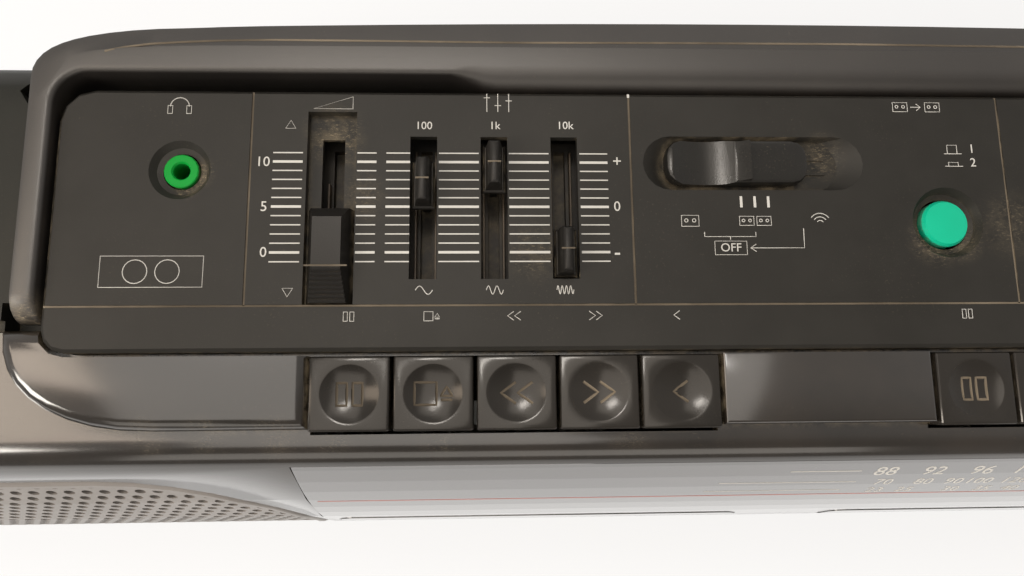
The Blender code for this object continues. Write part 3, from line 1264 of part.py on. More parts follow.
def switch_knob(name, x):
    # A rounded slide with a finger dish on its left, a tall ridge and a flat right end
    y = share_y(SWITCH_Y_SHARE)
    left = x - SWITCH_LENGTH / 2 + SWITCH_END_GAP
    right = left + SWITCH_KNOB_LENGTH
    base = PANEL_TOP - SWITCH_DEPTH + SWITCH_RIB_HEIGHT + SEAT_GAP
    top = PANEL_TOP + SWITCH_KNOB_RISE
    half = SWITCH_KNOB_WIDTH / 2
    outline = rectangle(left, y - half, right, y + half, half * SWITCH_KNOB_ROUND_SHARE)
    body = prism(outline, "Z", base, top, SWITCH_RIDGE_WIDTH / 3, 2)
    ridge_left = left + SWITCH_KNOB_LENGTH * SWITCH_DISH_SHARE
    ridge = block((ridge_left, y - half * SWITCH_RIDGE_SHARE, base + SWITCH_DEPTH / 2),
                  (ridge_left + SWITCH_RIDGE_WIDTH, y + half * SWITCH_RIDGE_SHARE,
                   PANEL_TOP + SWITCH_RIDGE_RISE),
                  SWITCH_RIDGE_WIDTH / 3, 2)
    join(body, ridge)
    span = ridge_left - left - SWITCH_RIDGE_WIDTH / 2
    ball = (span ** 2 / 4 + SWITCH_DISH_DEPTH ** 2) / (2 * SWITCH_DISH_DEPTH)
    scoop = rod("Y", (left + SWITCH_RIDGE_WIDTH / 2 + span / 2, top + ball - SWITCH_DISH_DEPTH), ball,
                y - SWITCH_WIDTH, y + SWITCH_WIDTH, 4 * ROUND_STEPS)
    cut(body, scoop)
    join(body, block((ridge_left - STEM_WIDTH, y - STEM_WIDTH / 2, pot_top() - STEM_DEPTH),
                     (ridge_left + STEM_WIDTH, y + STEM_WIDTH / 2, base + SWITCH_DEPTH / 3)))
    return finish(body, name, "knob", (ridge_left, y, PANEL_TOP))


def dub_speed_button():
    x, y = share_x(BUTTON_X_SHARE), share_y(BUTTON_Y_SHARE)
    top = PANEL_TOP - BUTTON_SINK
    profile = [(0, top - BUTTON_LENGTH), (BUTTON_RADIUS, top - BUTTON_LENGTH),
               (BUTTON_RADIUS, top - 2 * BUTTON_CROWN),
               (BUTTON_RADIUS - BUTTON_CROWN, top - BUTTON_CROWN / 2),
               (BUTTON_RADIUS / 2, top - BUTTON_CROWN / 8), (0, top)]
    body = turned(profile, "Z", (x, y, 0), 2 * ROUND_STEPS)
    join(body, rod("Z", (x, y), STEM_WIDTH, switch_body_top() + BUTTON_TRAVEL + RUN_GAP - STEM_DEPTH,
                   top - BUTTON_LENGTH / 2, 10))
    return finish(body, "dub_speed_button", "green", (x, y, top))


def switch_body_top():
    return BOARD_TOP + POT_HEIGHT / 2


def socket(name, share):
    # A jack socket: a coloured ring in the panel's dish on a barrel that reaches the board
    x, y = share_x(share), share_y(SOCKET_Y_SHARE)
    ring_top = PANEL_TOP - SOCKET_DISH_DEPTH / 2
    low = ring_top - SOCKET_BODY_LENGTH
    profile = [(0, low), (SOCKET_RING_RADIUS, low), (SOCKET_RING_RADIUS, ring_top - SOCKET_BASE / 4),
               (SOCKET_RING_RADIUS - SOCKET_BASE / 4, ring_top), (SOCKET_FLAT_RADIUS, ring_top),
               (SOCKET_BORE_RADIUS, ring_top - SOCKET_BASE / 2), (SOCKET_BORE_RADIUS, low + SOCKET_BASE),
               (0, low + SOCKET_BASE)]
    body = turned(profile, "Z", (x, y, 0), 20)
    return finish(body, name, "green")


def tuning_knob():
    x, y = share_x(TUNING_X_SHARE), share_y(TUNING_Y_SHARE)
    base, top = PANEL_TOP - TUNING_SINK + SEAT_GAP, PANEL_TOP + TUNING_RISE
    outline = []
    for k in range(2 * TUNING_FLUTES):
        turn = math.pi * k / TUNING_FLUTES
        radius = TUNING_RADIUS - TUNING_FLUTE_DEPTH * (k % 2)
        outline.append((x + radius * math.cos(turn), y + radius * math.sin(turn)))
    body = prism(outline, "Z", base, top, TUNING_EDGE, 2)
    finger = x + TUNING_RADIUS * TUNING_FINGER_SHARE
    ball = (TUNING_FINGER_RADIUS ** 2 + TUNING_FINGER_DEPTH ** 2) / (2 * TUNING_FINGER_DEPTH)
    profile = [(0, top + OVERRUN), (0, top - TUNING_FINGER_DEPTH)]
    for share in spread(0, 1, KEY_DISH_RINGS)[1:]:
        radius = TUNING_FINGER_RADIUS * share
        profile.append((radius, top - TUNING_FINGER_DEPTH + ball - math.sqrt(ball ** 2 - radius ** 2)))
    profile.append((TUNING_FINGER_RADIUS, top + OVERRUN))
    cut(body, turned(profile, "Z", (finger, y, 0), ROUND_STEPS))
    low = top - TUNING_SHAFT_LENGTH - TUNING_RISE
    join(body, rod("Z", (x, y), TUNING_SHAFT_RADIUS, low, base + TUNING_EDGE))
    return finish(body, "tuning_knob", "knob", (x, y, top))


def control_board():
    # The board with its slide pots, slide switches, push switch and tuning capacitor soldered on
    left, right = share_x(BOARD_LEFT_SHARE), share_x(BOARD_RIGHT_SHARE)
    board = block((left, BOARD_FRONT, BOARD_TOP - BOARD_THICK), (right, BOARD_REAR, BOARD_TOP))
    sunk = BOARD_TOP - BOARD_THICK / 2
    slot_y, switch_y = share_y(SLOT_Y_SHARE), share_y(SWITCH_Y_SHARE)
    parts, slots = [], []
    for share in (VOLUME_X_SHARE, *EQ_X_SHARES):
        x = share_x(share)
        parts.append(block((x - POT_WIDTH / 2, slot_y - POT_LENGTH / 2, sunk),
                           (x + POT_WIDTH / 2, slot_y + POT_LENGTH / 2, pot_top() - SEAT_GAP)))
        reach = (SLIDER_TRAVEL + STEM_LENGTH + POT_SLOT) / 2 + STEM_WIDTH
        slots.append(block((x - POT_SLOT / 2, slot_y - reach, pot_top() - STEM_DEPTH - RUN_GAP),
                           (x + POT_SLOT / 2, slot_y + reach, PANEL_TOP)))
    for share in (FUNCTION_X_SHARE, BAND_X_SHARE):
        x = share_x(share)
        parts.append(block((x - SWITCH_STEM_SLOT, switch_y - POT_WIDTH / 2, sunk),
                           (x + SWITCH_STEM_SLOT, switch_y + POT_WIDTH / 2, pot_top() - SEAT_GAP)))
        slots.append(block((x - SWITCH_STEM_SLOT / 2, switch_y - POT_SLOT / 2,
                            pot_top() - STEM_DEPTH - RUN_GAP),
                           (x + SWITCH_STEM_SLOT / 2, switch_y + POT_SLOT / 2, PANEL_TOP)))
    button = (share_x(BUTTON_X_SHARE), share_y(BUTTON_Y_SHARE))
    parts.append(block((button[0] - POT_WIDTH / 2, button[1] - POT_WIDTH / 2, sunk),
                       (button[0] + POT_WIDTH / 2, button[1] + POT_WIDTH / 2, switch_body_top())))
    slots.append(rod("Z", button, STEM_WIDTH + RUN_GAP, BOARD_TOP - BOARD_THICK - OVERRUN, PANEL_TOP, 10))
    tuning = (share_x(TUNING_X_SHARE), share_y(TUNING_Y_SHARE))
    parts.append(block((tuning[0] - TUNING_RADIUS * 0.5, tuning[1] - TUNING_RADIUS * 0.5, sunk),
                       (tuning[0] + TUNING_RADIUS * 0.5, tuning[1] + TUNING_RADIUS * 0.5, pot_top())))
    slots.append(rod("Z", tuning, TUNING_SHAFT_RADIUS + RUN_GAP,
                     PANEL_TOP - TUNING_SHAFT_LENGTH - RUN_GAP, PANEL_TOP, ROUND_STEPS))
    join(board, *parts)
    for share in (HEADPHONE_X_SHARE, MICROPHONE_X_SHARE):
        slots.append(rod("Z", (share_x(share), share_y(SOCKET_Y_SHARE)), SOCKET_RING_RADIUS + SEAT_GAP,
                         BOARD_TOP - BOARD_THICK - OVERRUN, PANEL_TOP))
    cut(board, *slots)
    return finish(board, "control_board", "board")


# Dial

def dial_window():
    outline = rectangle(-DIAL_HALF + SEAT_GAP, DIAL_BOTTOM + SEAT_GAP,
                        DIAL_HALF - SEAT_GAP, DIAL_TOP - SEAT_GAP)
    return finish(barrel_plate(outline, DIAL_THICK), "dial_window", "clear")


def dial_pointer():
    gap = SEAT_GAP
    blade = barrel_band(POINTER_X - POINTER_WIDTH / 2, POINTER_X + POINTER_WIDTH / 2,
                        DIAL_BOTTOM + POINTER_MARGIN, DIAL_TOP - POINTER_MARGIN, DIAL_THICK + gap,
                        DIAL_THICK + POINTER_WIDTH)
    foot_low = DIAL_BOTTOM + POINTER_MARGIN
    shoe = barrel_band(POINTER_X - POINTER_FOOT / 2, POINTER_X + POINTER_FOOT / 2, foot_low,
                       foot_low + POINTER_FOOT_HEIGHT, DIAL_THICK + 2 * gap, DIAL_TRAY_DEPTH - gap, 2)
    join(blade, shoe)
    return finish(blade, "dial_pointer", "red", (POINTER_X, barrel_y(DIAL_BOTTOM), DIAL_BOTTOM))


# Tape decks

def cassette_door(side, name):
    middle = side * DECK_X
    body = barrel_plate(door_outline(side), WALL)
    half = CASSETTE_WIDTH / 2 + RAIL_GAP
    top = CASSETTE_BOTTOM + CASSETTE_HEIGHT * RAIL_HEIGHT_SHARE
    rear = CASSETTE_REAR + RAIL_GAP
    rails = []
    for sign in (-1, 1):
        edges = sorted((middle + sign * half, middle + sign * (half + RAIL_WALL)))
        lips = sorted((middle + sign * (half - RAIL_LIP), middle + sign * (half + RAIL_WALL)))
        outline = barrel_arc(WALL / 2, CASSETTE_BOTTOM - LEDGE_THICK, top)
        outline += [(rear + RAIL_WALL, top), (rear + RAIL_WALL, CASSETTE_BOTTOM - LEDGE_THICK)]
        rails.append(prism(outline, "X", *edges))
        rails.append(block((lips[0], rear, CASSETTE_BOTTOM - LEDGE_THICK / 2),
                           (lips[1], rear + RAIL_WALL, top)))
        pin = sorted((middle + sign * (DOOR_WIDTH / 2 - WALL),
                      middle + sign * (DOOR_WIDTH / 2 + HINGE_PIN_LENGTH)))
        rails.append(rod("X", (HINGE_Y, HINGE_Z), HINGE_PIN_RADIUS, *pin, 12))
        knuckle = sorted((middle + sign * (DOOR_WIDTH / 2 - 2 * WALL),
                          middle + sign * (DOOR_WIDTH / 2 - SEAT_GAP)))
        rails.append(rod("X", (HINGE_Y, HINGE_Z), HINGE_Z - DOOR_BOTTOM, *knuckle, 12))
    ledge_low = CASSETTE_BOTTOM - LEDGE_THICK
    rails.append(block((middle - half - RAIL_WALL / 2, barrel_y(ledge_low, WALL / 2), ledge_low),
                       (middle + half + RAIL_WALL / 2, rear + RAIL_WALL, CASSETTE_BOTTOM)))
    join(body, *rails)
    cut(body, prism(window_outline(side, SEAT_GAP), "Y", BARREL_FRONT - OVERRUN, CASSETTE_FRONT - RAIL_GAP))
    return finish(body, name, "cabinet", (middle, HINGE_Y, HINGE_Z))


def window_outline(side, gap=0):
    middle = side * DECK_X
    height = DOOR_TOP - DOOR_BOTTOM
    low, high = DOOR_BOTTOM + height * WINDOW_LOW_SHARE, DOOR_BOTTOM + height * WINDOW_HIGH_SHARE
    half = CASSETTE_WIDTH * WINDOW_WIDTH_SHARE / 2
    return rectangle(middle - half - gap, low - gap, middle + half + gap, high + gap, WINDOW_CORNER)


def door_window(side, name):
    return finish(barrel_plate(window_outline(side), WALL * WINDOW_THICK_SHARE, 4), name, "clear")


def hub_z():
    return CASSETTE_BOTTOM + HUB_HEIGHT


def capstan_place(side):
    return side * DECK_X + CAPSTAN_OFFSET, CASSETTE_BOTTOM + CASSETTE_HEIGHT - CAPSTAN_DROP


def deck_chassis(side, name):
    # A folded steel plate with flanges, with holes for the reel axles and the capstan
    middle = side * DECK_X
    outline = rectangle(middle - CHASSIS_HALF, CHASSIS_BOTTOM,
                        middle + CHASSIS_HALF, CHASSIS_TOP, CHASSIS_ROUND)
    plate = prism(outline, "Y", CHASSIS_Y, CHASSIS_Y + CHASSIS_THICK)
    inside = CHASSIS_ROUND + CHASSIS_THICK
    flanges = []
    for z in (CHASSIS_BOTTOM, CHASSIS_TOP - CHASSIS_THICK):
        flanges.append(block((middle - CHASSIS_HALF + inside, CHASSIS_Y + CHASSIS_THICK / 2, z),
                             (middle + CHASSIS_HALF - inside, CHASSIS_Y + CHASSIS_FLANGE, z + CHASSIS_THICK)))
    join(plate, *flanges)
    holes = []
    for sign in (-1, 1):
        holes.append(rod("Y", (middle + sign * HUB_SPACING / 2, hub_z()), SPINDLE_AXLE_RADIUS + SEAT_GAP,
                         CHASSIS_Y - OVERRUN, CHASSIS_Y + OVERRUN, 12))
    holes.append(rod("Y", capstan_place(side), CAPSTAN_RADIUS + SEAT_GAP, CHASSIS_Y - OVERRUN,
                     CHASSIS_Y + OVERRUN, 12))
    cut(plate, *holes)
    return finish(plate, name, "steel")


def reel_spindle(name, x):
    z = hub_z()
    disc_rear = CHASSIS_Y - SEAT_GAP
    disc_front = CASSETTE_REAR + RUN_GAP
    tip = disc_front - SPINDLE_REACH
    profile = [(0, disc_rear + SPINDLE_AXLE_LENGTH), (SPINDLE_AXLE_RADIUS, disc_rear + SPINDLE_AXLE_LENGTH),
               (SPINDLE_AXLE_RADIUS, disc_rear), (SPINDLE_DISC_RADIUS, disc_rear),
               (SPINDLE_DISC_RADIUS, disc_front), (SPINDLE_RADIUS, disc_front),
               (SPINDLE_RADIUS, tip + SPINDLE_FIN), (SPINDLE_RADIUS / 2, tip), (0, tip)]
    body = turned(profile, "Y", (x, 0, z))
    fins = []
    for k in range(SPINDLE_FINS):
        fin = block((0, disc_front - SPINDLE_REACH * SPINDLE_FIN_SHARE, -SPINDLE_FIN_WIDTH / 2),
                    (SPINDLE_RADIUS + SPINDLE_FIN, disc_front + SEAT_GAP, SPINDLE_FIN_WIDTH / 2))
        turn = Matrix.Rotation(math.tau * k / SPINDLE_FINS + math.pi / 2, 4, "Y")
        fin.data.transform(Matrix.Translation((x, 0, z)) @ turn)
        fins.append(fin)
    join(body, *fins)
    return finish(body, name, "spindle", (x, disc_front, z))


def capstan(side, name):
    x, z = capstan_place(side)
    wheel_front = CHASSIS_Y + CHASSIS_THICK + FLYWHEEL_GAP
    wheel_rear = wheel_front + FLYWHEEL_THICK
    tip = CHASSIS_Y - CAPSTAN_REACH
    profile = [(0, tip), (CAPSTAN_RADIUS, tip), (CAPSTAN_RADIUS, wheel_front - FLYWHEEL_GAP / 2),
               (FLYWHEEL_HUB_RADIUS, wheel_front - FLYWHEEL_GAP / 2), (FLYWHEEL_HUB_RADIUS, wheel_front),
               (FLYWHEEL_RADIUS, wheel_front), (FLYWHEEL_RADIUS, wheel_rear), (0, wheel_rear)]
    return finish(turned(profile, "Y", (x, 0, z), 2 * ROUND_STEPS), name, "steel", (x, wheel_front, z))


def head_low():
    return CASSETTE_BOTTOM + CASSETTE_HEIGHT + LEDGE_THICK


def pinch_z(side):
    return capstan_place(side)[1] + CAPSTAN_RADIUS + PINCH_RADIUS + HEAD_TRAVEL + SEAT_GAP


def head_plate(side, name):
    # The sliding plate that brings the tape head and the pinch roller down to the tape
    middle = side * DECK_X
    rear = CHASSIS_Y - SEAT_GAP
    front = rear - HEAD_PLATE_THICK
    low = head_low()
    plate = prism(rectangle(middle - HEAD_PLATE_HALF, low, middle + HEAD_PLATE_HALF, low + HEAD_PLATE_HEIGHT,
                            HEAD_ROUND / 2, 2), "Y", front, rear)
    half = HEAD_WIDTH / 2
    head_outline = [(middle - half, low + HEAD_HEIGHT), (middle - half, low + HEAD_ROUND)]
    head_outline += arc(middle, low + HEAD_ROUND, half * HEAD_NOSE_SHARE, 205, 335, 4)
    head_outline += [(middle + half, low + HEAD_ROUND), (middle + half, low + HEAD_HEIGHT)]
    head = prism(head_outline, "Y", front - HEAD_DEPTH, front + HEAD_PLATE_THICK / 2)
    x = capstan_place(side)[0]
    pin = rod("Y", (x, pinch_z(side)), PINCH_PIN_RADIUS, front - PINCH_LENGTH - 2 * SEAT_GAP,
              front + HEAD_PLATE_THICK / 2, 10)
    join(plate, head, pin)
    return finish(plate, name, "plated", (middle, front, low))


def pinch_roller(side, name):
    x, z = capstan_place(side)[0], pinch_z(side)
    rear = CHASSIS_Y - SEAT_GAP - HEAD_PLATE_THICK - SEAT_GAP
    bore = PINCH_PIN_RADIUS + SEAT_GAP
    edge = PINCH_PIN_RADIUS / 2
    profile = [(bore, rear), (bore, rear - PINCH_LENGTH), (PINCH_RADIUS - edge, rear - PINCH_LENGTH),
               (PINCH_RADIUS, rear - PINCH_LENGTH + edge), (PINCH_RADIUS, rear - edge),
               (PINCH_RADIUS - edge, rear)]
    return finish(turned(profile, "Y", (x, 0, z), ROUND_STEPS), name, "rubber", (x, rear, z))


def tape_motor():
    rear = CHASSIS_Y + CHASSIS_THICK + SEAT_GAP
    profile = [(0, rear), (MOTOR_RADIUS, rear), (MOTOR_RADIUS, rear + MOTOR_LENGTH - MOTOR_PULLEY_RADIUS / 4),
               (MOTOR_RADIUS - MOTOR_PULLEY_RADIUS / 4, rear + MOTOR_LENGTH),
               (MOTOR_PULLEY_RADIUS, rear + MOTOR_LENGTH),
               (MOTOR_PULLEY_RADIUS, rear + MOTOR_LENGTH + MOTOR_PULLEY_LENGTH),
               (0, rear + MOTOR_LENGTH + MOTOR_PULLEY_LENGTH)]
    return finish(turned(profile, "Y", (MOTOR_X, 0, MOTOR_Z), 20), "tape_motor", "steel")


def decks():
    for side, word in ((-1, "left"), (1, "right")):
        cassette_door(side, "cassette_door_" + word)
        door_window(side, "door_window_" + word)
        deck_chassis(side, "deck_chassis_" + word)
        capstan(side, "capstan_" + word)
        head_plate(side, "head_plate_" + word)
        pinch_roller(side, "pinch_roller_" + word)
        reel_spindle("supply_spindle_" + word, side * DECK_X - HUB_SPACING / 2)
        reel_spindle("takeup_spindle_" + word, side * DECK_X + HUB_SPACING / 2)
    tape_motor()


# Loudspeakers

def speaker_grille(side, name):
    return finish(barrel_plate(grille_outline(side), GRILLE_THICK), name, "grille")


def speaker(side, name):
    front = BAFFLE_FRONT + BAFFLE_THICK + SEAT_GAP
    neck = front + SPEAKER_DEPTH - MAGNET_LENGTH
    rear = front + SPEAKER_DEPTH
    inner = CONE_ROLL
    profile = [(inner, front), (SPEAKER_FLANGE, front), (SPEAKER_FLANGE, front + SPEAKER_FLANGE_THICK),
               (inner + BASKET_WALL, front + SPEAKER_FLANGE_THICK),
               (NECK_RADIUS + BASKET_WALL, neck - BASKET_WALL), (MAGNET_RADIUS, neck - BASKET_WALL),
               (MAGNET_RADIUS, rear), (0, rear), (0, neck), (NECK_RADIUS, neck)]
    body = turned(profile, "Y", (side * GRILLE_X, 0, SPEAKER_Z), 24)
    windows = []
    for k in range(BASKET_WINDOWS):
        window = block((NECK_RADIUS + 2 * BASKET_WALL, front + 2 * SPEAKER_FLANGE_THICK,
                        -BASKET_WINDOW_WIDTH / 2),
                       (SPEAKER_FLANGE, neck - 2 * BASKET_WALL, BASKET_WINDOW_WIDTH / 2))
        turn = Matrix.Rotation(math.tau * (k + 0.5) / BASKET_WINDOWS, 4, "Y")
        window.data.transform(Matrix.Translation((side * GRILLE_X, 0, SPEAKER_Z)) @ turn)
        windows.append(window)
    cut(body, *windows)
    return finish(body, name, "steel")


def speaker_cone(side, name):
    rear = BAFFLE_FRONT + BAFFLE_THICK
    front = rear - CONE_THICK
    deep = rear + CONE_DEPTH
    profile = [(CONE_RIM, rear), (CONE_RIM, front), (CONE_ROLL, front - CONE_THICK), (CONE_EDGE, front),
               (CONE_NECK, deep - CONE_THICK), (CONE_NECK * DOME_EDGE_SHARES[0], deep - DOME_RISE),
               (0, deep - DOME_RISE * DOME_MIDDLE_SHARE),
               (0, deep - DOME_RISE * DOME_MIDDLE_SHARE + CONE_THICK),
               (CONE_NECK * DOME_EDGE_SHARES[1], deep - DOME_RISE + CONE_THICK),
               (CONE_NECK, deep + CONE_THICK), (CONE_EDGE, rear)]
    return finish(turned(profile, "Y", (side * GRILLE_X, 0, SPEAKER_Z), 24), name, "cone")


def loudspeakers():
    for side, word in ((-1, "left"), (1, "right")):
        speaker_grille(side, "speaker_grille_" + word)
        speaker(side, "speaker_" + word)
        speaker_cone(side, "speaker_cone_" + word)


# The back

def battery_outline(gap):
    return rectangle(-BAY_HALF - gap, BAY_BOTTOM - gap, BAY_HALF + gap, BAY_TOP + gap, BATTERY_DOOR_ROUND)


def battery_door():
    rear = REAR_Y
    front = rear - BATTERY_DOOR_THICK + SEAT_GAP
    body = prism(battery_outline(-SEAT_GAP), "Y", front, rear)
    ribs = []
    for k in range(BATTERY_RIBS):
        x = (k - (BATTERY_RIBS - 1) / 2) * BAY_HALF * BATTERY_RIB_SPREAD / (BATTERY_RIBS - 1)
        ribs.append(block((x - BATTERY_RIB_WIDTH / 2, front - BATTERY_RIB_DEPTH, BAY_BOTTOM + 2 * BAY_LEDGE),
                          (x + BATTERY_RIB_WIDTH / 2, front + BATTERY_DOOR_THICK / 2,
                           BAY_TOP - 2 * BAY_LEDGE)))
    join(body, *ribs)
    notches = []
    for sign in (-1, 1):
        x = sign * BAY_HALF / 2
        outline = rectangle(x - BATTERY_NOTCH_WIDTH / 2, BAY_TOP - 2 * BATTERY_NOTCH_HEIGHT,
                            x + BATTERY_NOTCH_WIDTH / 2, BAY_TOP - BATTERY_NOTCH_HEIGHT,
                            BATTERY_NOTCH_HEIGHT / 3)
        notches.append(prism(outline, "Y", rear - BATTERY_NOTCH_DEPTH, rear + OVERRUN))
    cut(body, *notches)
    return finish(body, "battery_door", "cabinet", (0, rear, BAY_BOTTOM))


def battery_contact(side, name):
    # A plated sheet on the end wall of the bay, with a raised coil for each row of cells
    wall = side * (BAY_HALF - SEAT_GAP)
    edges = sorted((wall, wall - side * CONTACT_THICK))
    middle_y = (BAY_FRONT + REAR_Y) / 2 - BAY_LEDGE
    middle_z = (BAY_BOTTOM + BAY_TOP) / 2
    plate = block((edges[0], middle_y - CONTACT_SIDE / 2, middle_z - CONTACT_HEIGHT / 2),
                  (edges[1], middle_y + CONTACT_SIDE / 2, middle_z + CONTACT_HEIGHT / 2))
    springs = []
    for sign in (-1, 1):
        base = -side * CONTACT_THICK / 2
        profile = [(0, base)]
        pitch = CONTACT_SPRING_LENGTH / CONTACT_SPRING_TURNS
        for turn in range(CONTACT_SPRING_TURNS):
            radius = CONTACT_SPRING_RADIUS * (1 - CONTACT_TAPER * turn)
            profile += [(radius, base - side * pitch * turn),
                        (radius, base - side * pitch * (turn + CONTACT_GROOVE_SHARES[0])),
                        (radius * CONTACT_GROOVE_SHARES[1],
                         base - side * pitch * (turn + CONTACT_GROOVE_SHARES[1]))]
        profile.append((0, base - side * CONTACT_SPRING_LENGTH))
        springs.append(turned(profile, "X", (wall, middle_y, middle_z + sign * CONTACT_HEIGHT / 4), 12))
    join(plate, *springs)
    return finish(plate, name, "plated")


def mains_inlet():
    # A two-pin figure-eight inlet let into the back
    width, height = INLET_WIDTH / 2, INLET_HEIGHT / 2
    flange = prism(rectangle(INLET_X - width, INLET_Z - height, INLET_X + width, INLET_Z + height), "Y",
                   REAR_Y - INLET_DEPTH, REAR_Y)
    rim = prism(rectangle(INLET_X - width - INLET_FLANGE, INLET_Z - height - INLET_FLANGE / 2,
                          INLET_X + width + INLET_FLANGE, INLET_Z + height + INLET_FLANGE / 2), "Y",
                REAR_Y - INLET_DEPTH + WALL, REAR_Y - WALL - SEAT_GAP)
    join(flange, rim)
    pocket_width, pocket_height = INLET_POCKET_WIDTH / 2, INLET_POCKET_HEIGHT / 2
    cut(flange, prism(rectangle(INLET_X - pocket_width, INLET_Z - pocket_height, INLET_X + pocket_width,
                                INLET_Z + pocket_height, pocket_height * INLET_POCKET_ROUND_SHARE, 4), "Y",
                      REAR_Y - INLET_POCKET_DEPTH, REAR_Y + OVERRUN))
    pins = [rod("Y", (INLET_X + sign * INLET_PIN_SPREAD, INLET_Z), INLET_PIN_RADIUS,
                REAR_Y - INLET_POCKET_DEPTH - INLET_PIN_RADIUS,
                REAR_Y - INLET_POCKET_DEPTH + INLET_PIN_LENGTH, 8)
            for sign in (-1, 1)]
    join(flange, *pins)
    return finish(flange, "mains_inlet", "rubber")


def power_transformer():
    # A laminated core with its bobbin, on two feet on the cabinet's floor
    floor = FOOT_HEIGHT + WALL + SEAT_GAP
    half = TRANSFORMER_WIDTH / 2
    front, rear = TRANSFORMER_Y - TRANSFORMER_DEPTH / 2, TRANSFORMER_Y + TRANSFORMER_DEPTH / 2
    core = block((TRANSFORMER_X - half, front, floor),
                 (TRANSFORMER_X + half, rear, floor + TRANSFORMER_HEIGHT), CONTACT_THICK)
    bobbin = block((TRANSFORMER_X - half + BOBBIN_MARGIN, front - BOBBIN_PROUD, floor + BOBBIN_MARGIN),
                   (TRANSFORMER_X + half - BOBBIN_MARGIN, rear + BOBBIN_PROUD,
                    floor + TRANSFORMER_HEIGHT - BOBBIN_MARGIN), BOBBIN_MARGIN / 3)
    feet = [block((TRANSFORMER_X + sign * half - BOBBIN_MARGIN, TRANSFORMER_Y - BOBBIN_MARGIN, floor),
                  (TRANSFORMER_X + sign * half + BOBBIN_MARGIN, TRANSFORMER_Y + BOBBIN_MARGIN, floor + WALL))
            for sign in (-1, 1)]
    join(core, bobbin, *feet)
    return finish(core, "power_transformer", "laminate")


def main_board():
    # The amplifier and radio board on the front wall of the battery bay, with its larger components
    rear = BAY_FRONT - BAY_WALL - SEAT_GAP
    front = rear - BOARD_THICK
    board = block((-MAIN_BOARD_HALF, front, MAIN_BOARD_BOTTOM), (MAIN_BOARD_HALF, rear, MAIN_BOARD_TOP))
    middle_z = (MAIN_BOARD_BOTTOM + MAIN_BOARD_TOP) / 2
    sunk = front + BOARD_THICK / 2
    sink_x = SINK_X_SHARE * BAY_HALF
    parts = [block((sink_x - SINK_WIDTH / 2, front - SINK_DEPTH / 4, middle_z - SINK_HEIGHT / 2),
                   (sink_x + SINK_WIDTH / 2, sunk, middle_z + SINK_HEIGHT / 2))]
    for k in range(SINK_FINS):
        x = sink_x - SINK_WIDTH / 2 + SINK_WIDTH * (k + 0.5) / SINK_FINS
        parts.append(block((x - BOARD_THICK / 2, front - SINK_DEPTH,
                            middle_z - SINK_HEIGHT / 2 + BOARD_THICK),
                           (x + BOARD_THICK / 2, front, middle_z + SINK_HEIGHT / 2 - BOARD_THICK)))
    for share in CAPACITOR_X_SHARES:
        parts.append(rod("Y", (share * BAY_HALF, middle_z), CAPACITOR_RADIUS,
                         front - CAPACITOR_LENGTH, sunk, 12))
    join(board, *parts)
    return finish(board, "main_board", "board")


# The antenna

def antenna_knuckle():
    pivot = (ANTENNA_X, ANTENNA_Y, ANTENNA_PIVOT_Z)
    body = rod("Y", (ANTENNA_X, ANTENNA_PIVOT_Z), ANTENNA_FORK_RADIUS, ANTENNA_STEP_Y + SEAT_GAP,
               ANTENNA_Y + ANTENNA_TUBE_RADIUS)
    stem = rod("Y", (ANTENNA_X, ANTENNA_PIVOT_Z), ANTENNA_STEM_RADIUS, ANTENNA_STEP_Y - ANTENNA_STEM_LENGTH,
               ANTENNA_STEP_Y + 2 * SEAT_GAP, 12)
    join(body, stem)
    cut(body, block((ANTENNA_X - ANTENNA_FORK_SLOT / 2, ANTENNA_Y - ANTENNA_FORK_SLOT,
                     ANTENNA_PIVOT_Z - ANTENNA_FORK_LENGTH),
                    (ANTENNA_X + ANTENNA_FORK_SLOT / 2, ANTENNA_Y + ANTENNA_FORK_LENGTH,
                     ANTENNA_PIVOT_Z + ANTENNA_FORK_LENGTH)))
    return finish(body, "antenna_knuckle", "plated", pivot)


def antenna_tube():
    centre = (ANTENNA_X, ANTENNA_Y)
    top = ANTENNA_PIVOT_Z - ANTENNA_SHOULDER
    low = ANTENNA_PIVOT_Z - ANTENNA_TUBE_LENGTH
    profile = [(0, top), (ANTENNA_TUBE_RADIUS, top), (ANTENNA_TUBE_RADIUS, low), (ANTENNA_TUBE_BORE, low),
               (ANTENNA_TUBE_BORE, top - ANTENNA_FORK_RADIUS), (0, top - ANTENNA_FORK_RADIUS)]
    body = turned(profile[::-1], "Z", (*centre, 0), 14)
    half = ANTENNA_TONGUE / 2
    reach = (ANTENNA_FORK_SLOT - RUN_GAP) * ANTENNA_TONGUE_SHARE
    tongue = block((ANTENNA_X - half, ANTENNA_Y - reach, top - RUN_GAP),
                   (ANTENNA_X + half, ANTENNA_Y + reach, ANTENNA_PIVOT_Z + reach))
    join(body, tongue)
    return finish(body, "antenna_tube", "plated", (ANTENNA_X, ANTENNA_Y, ANTENNA_PIVOT_Z))


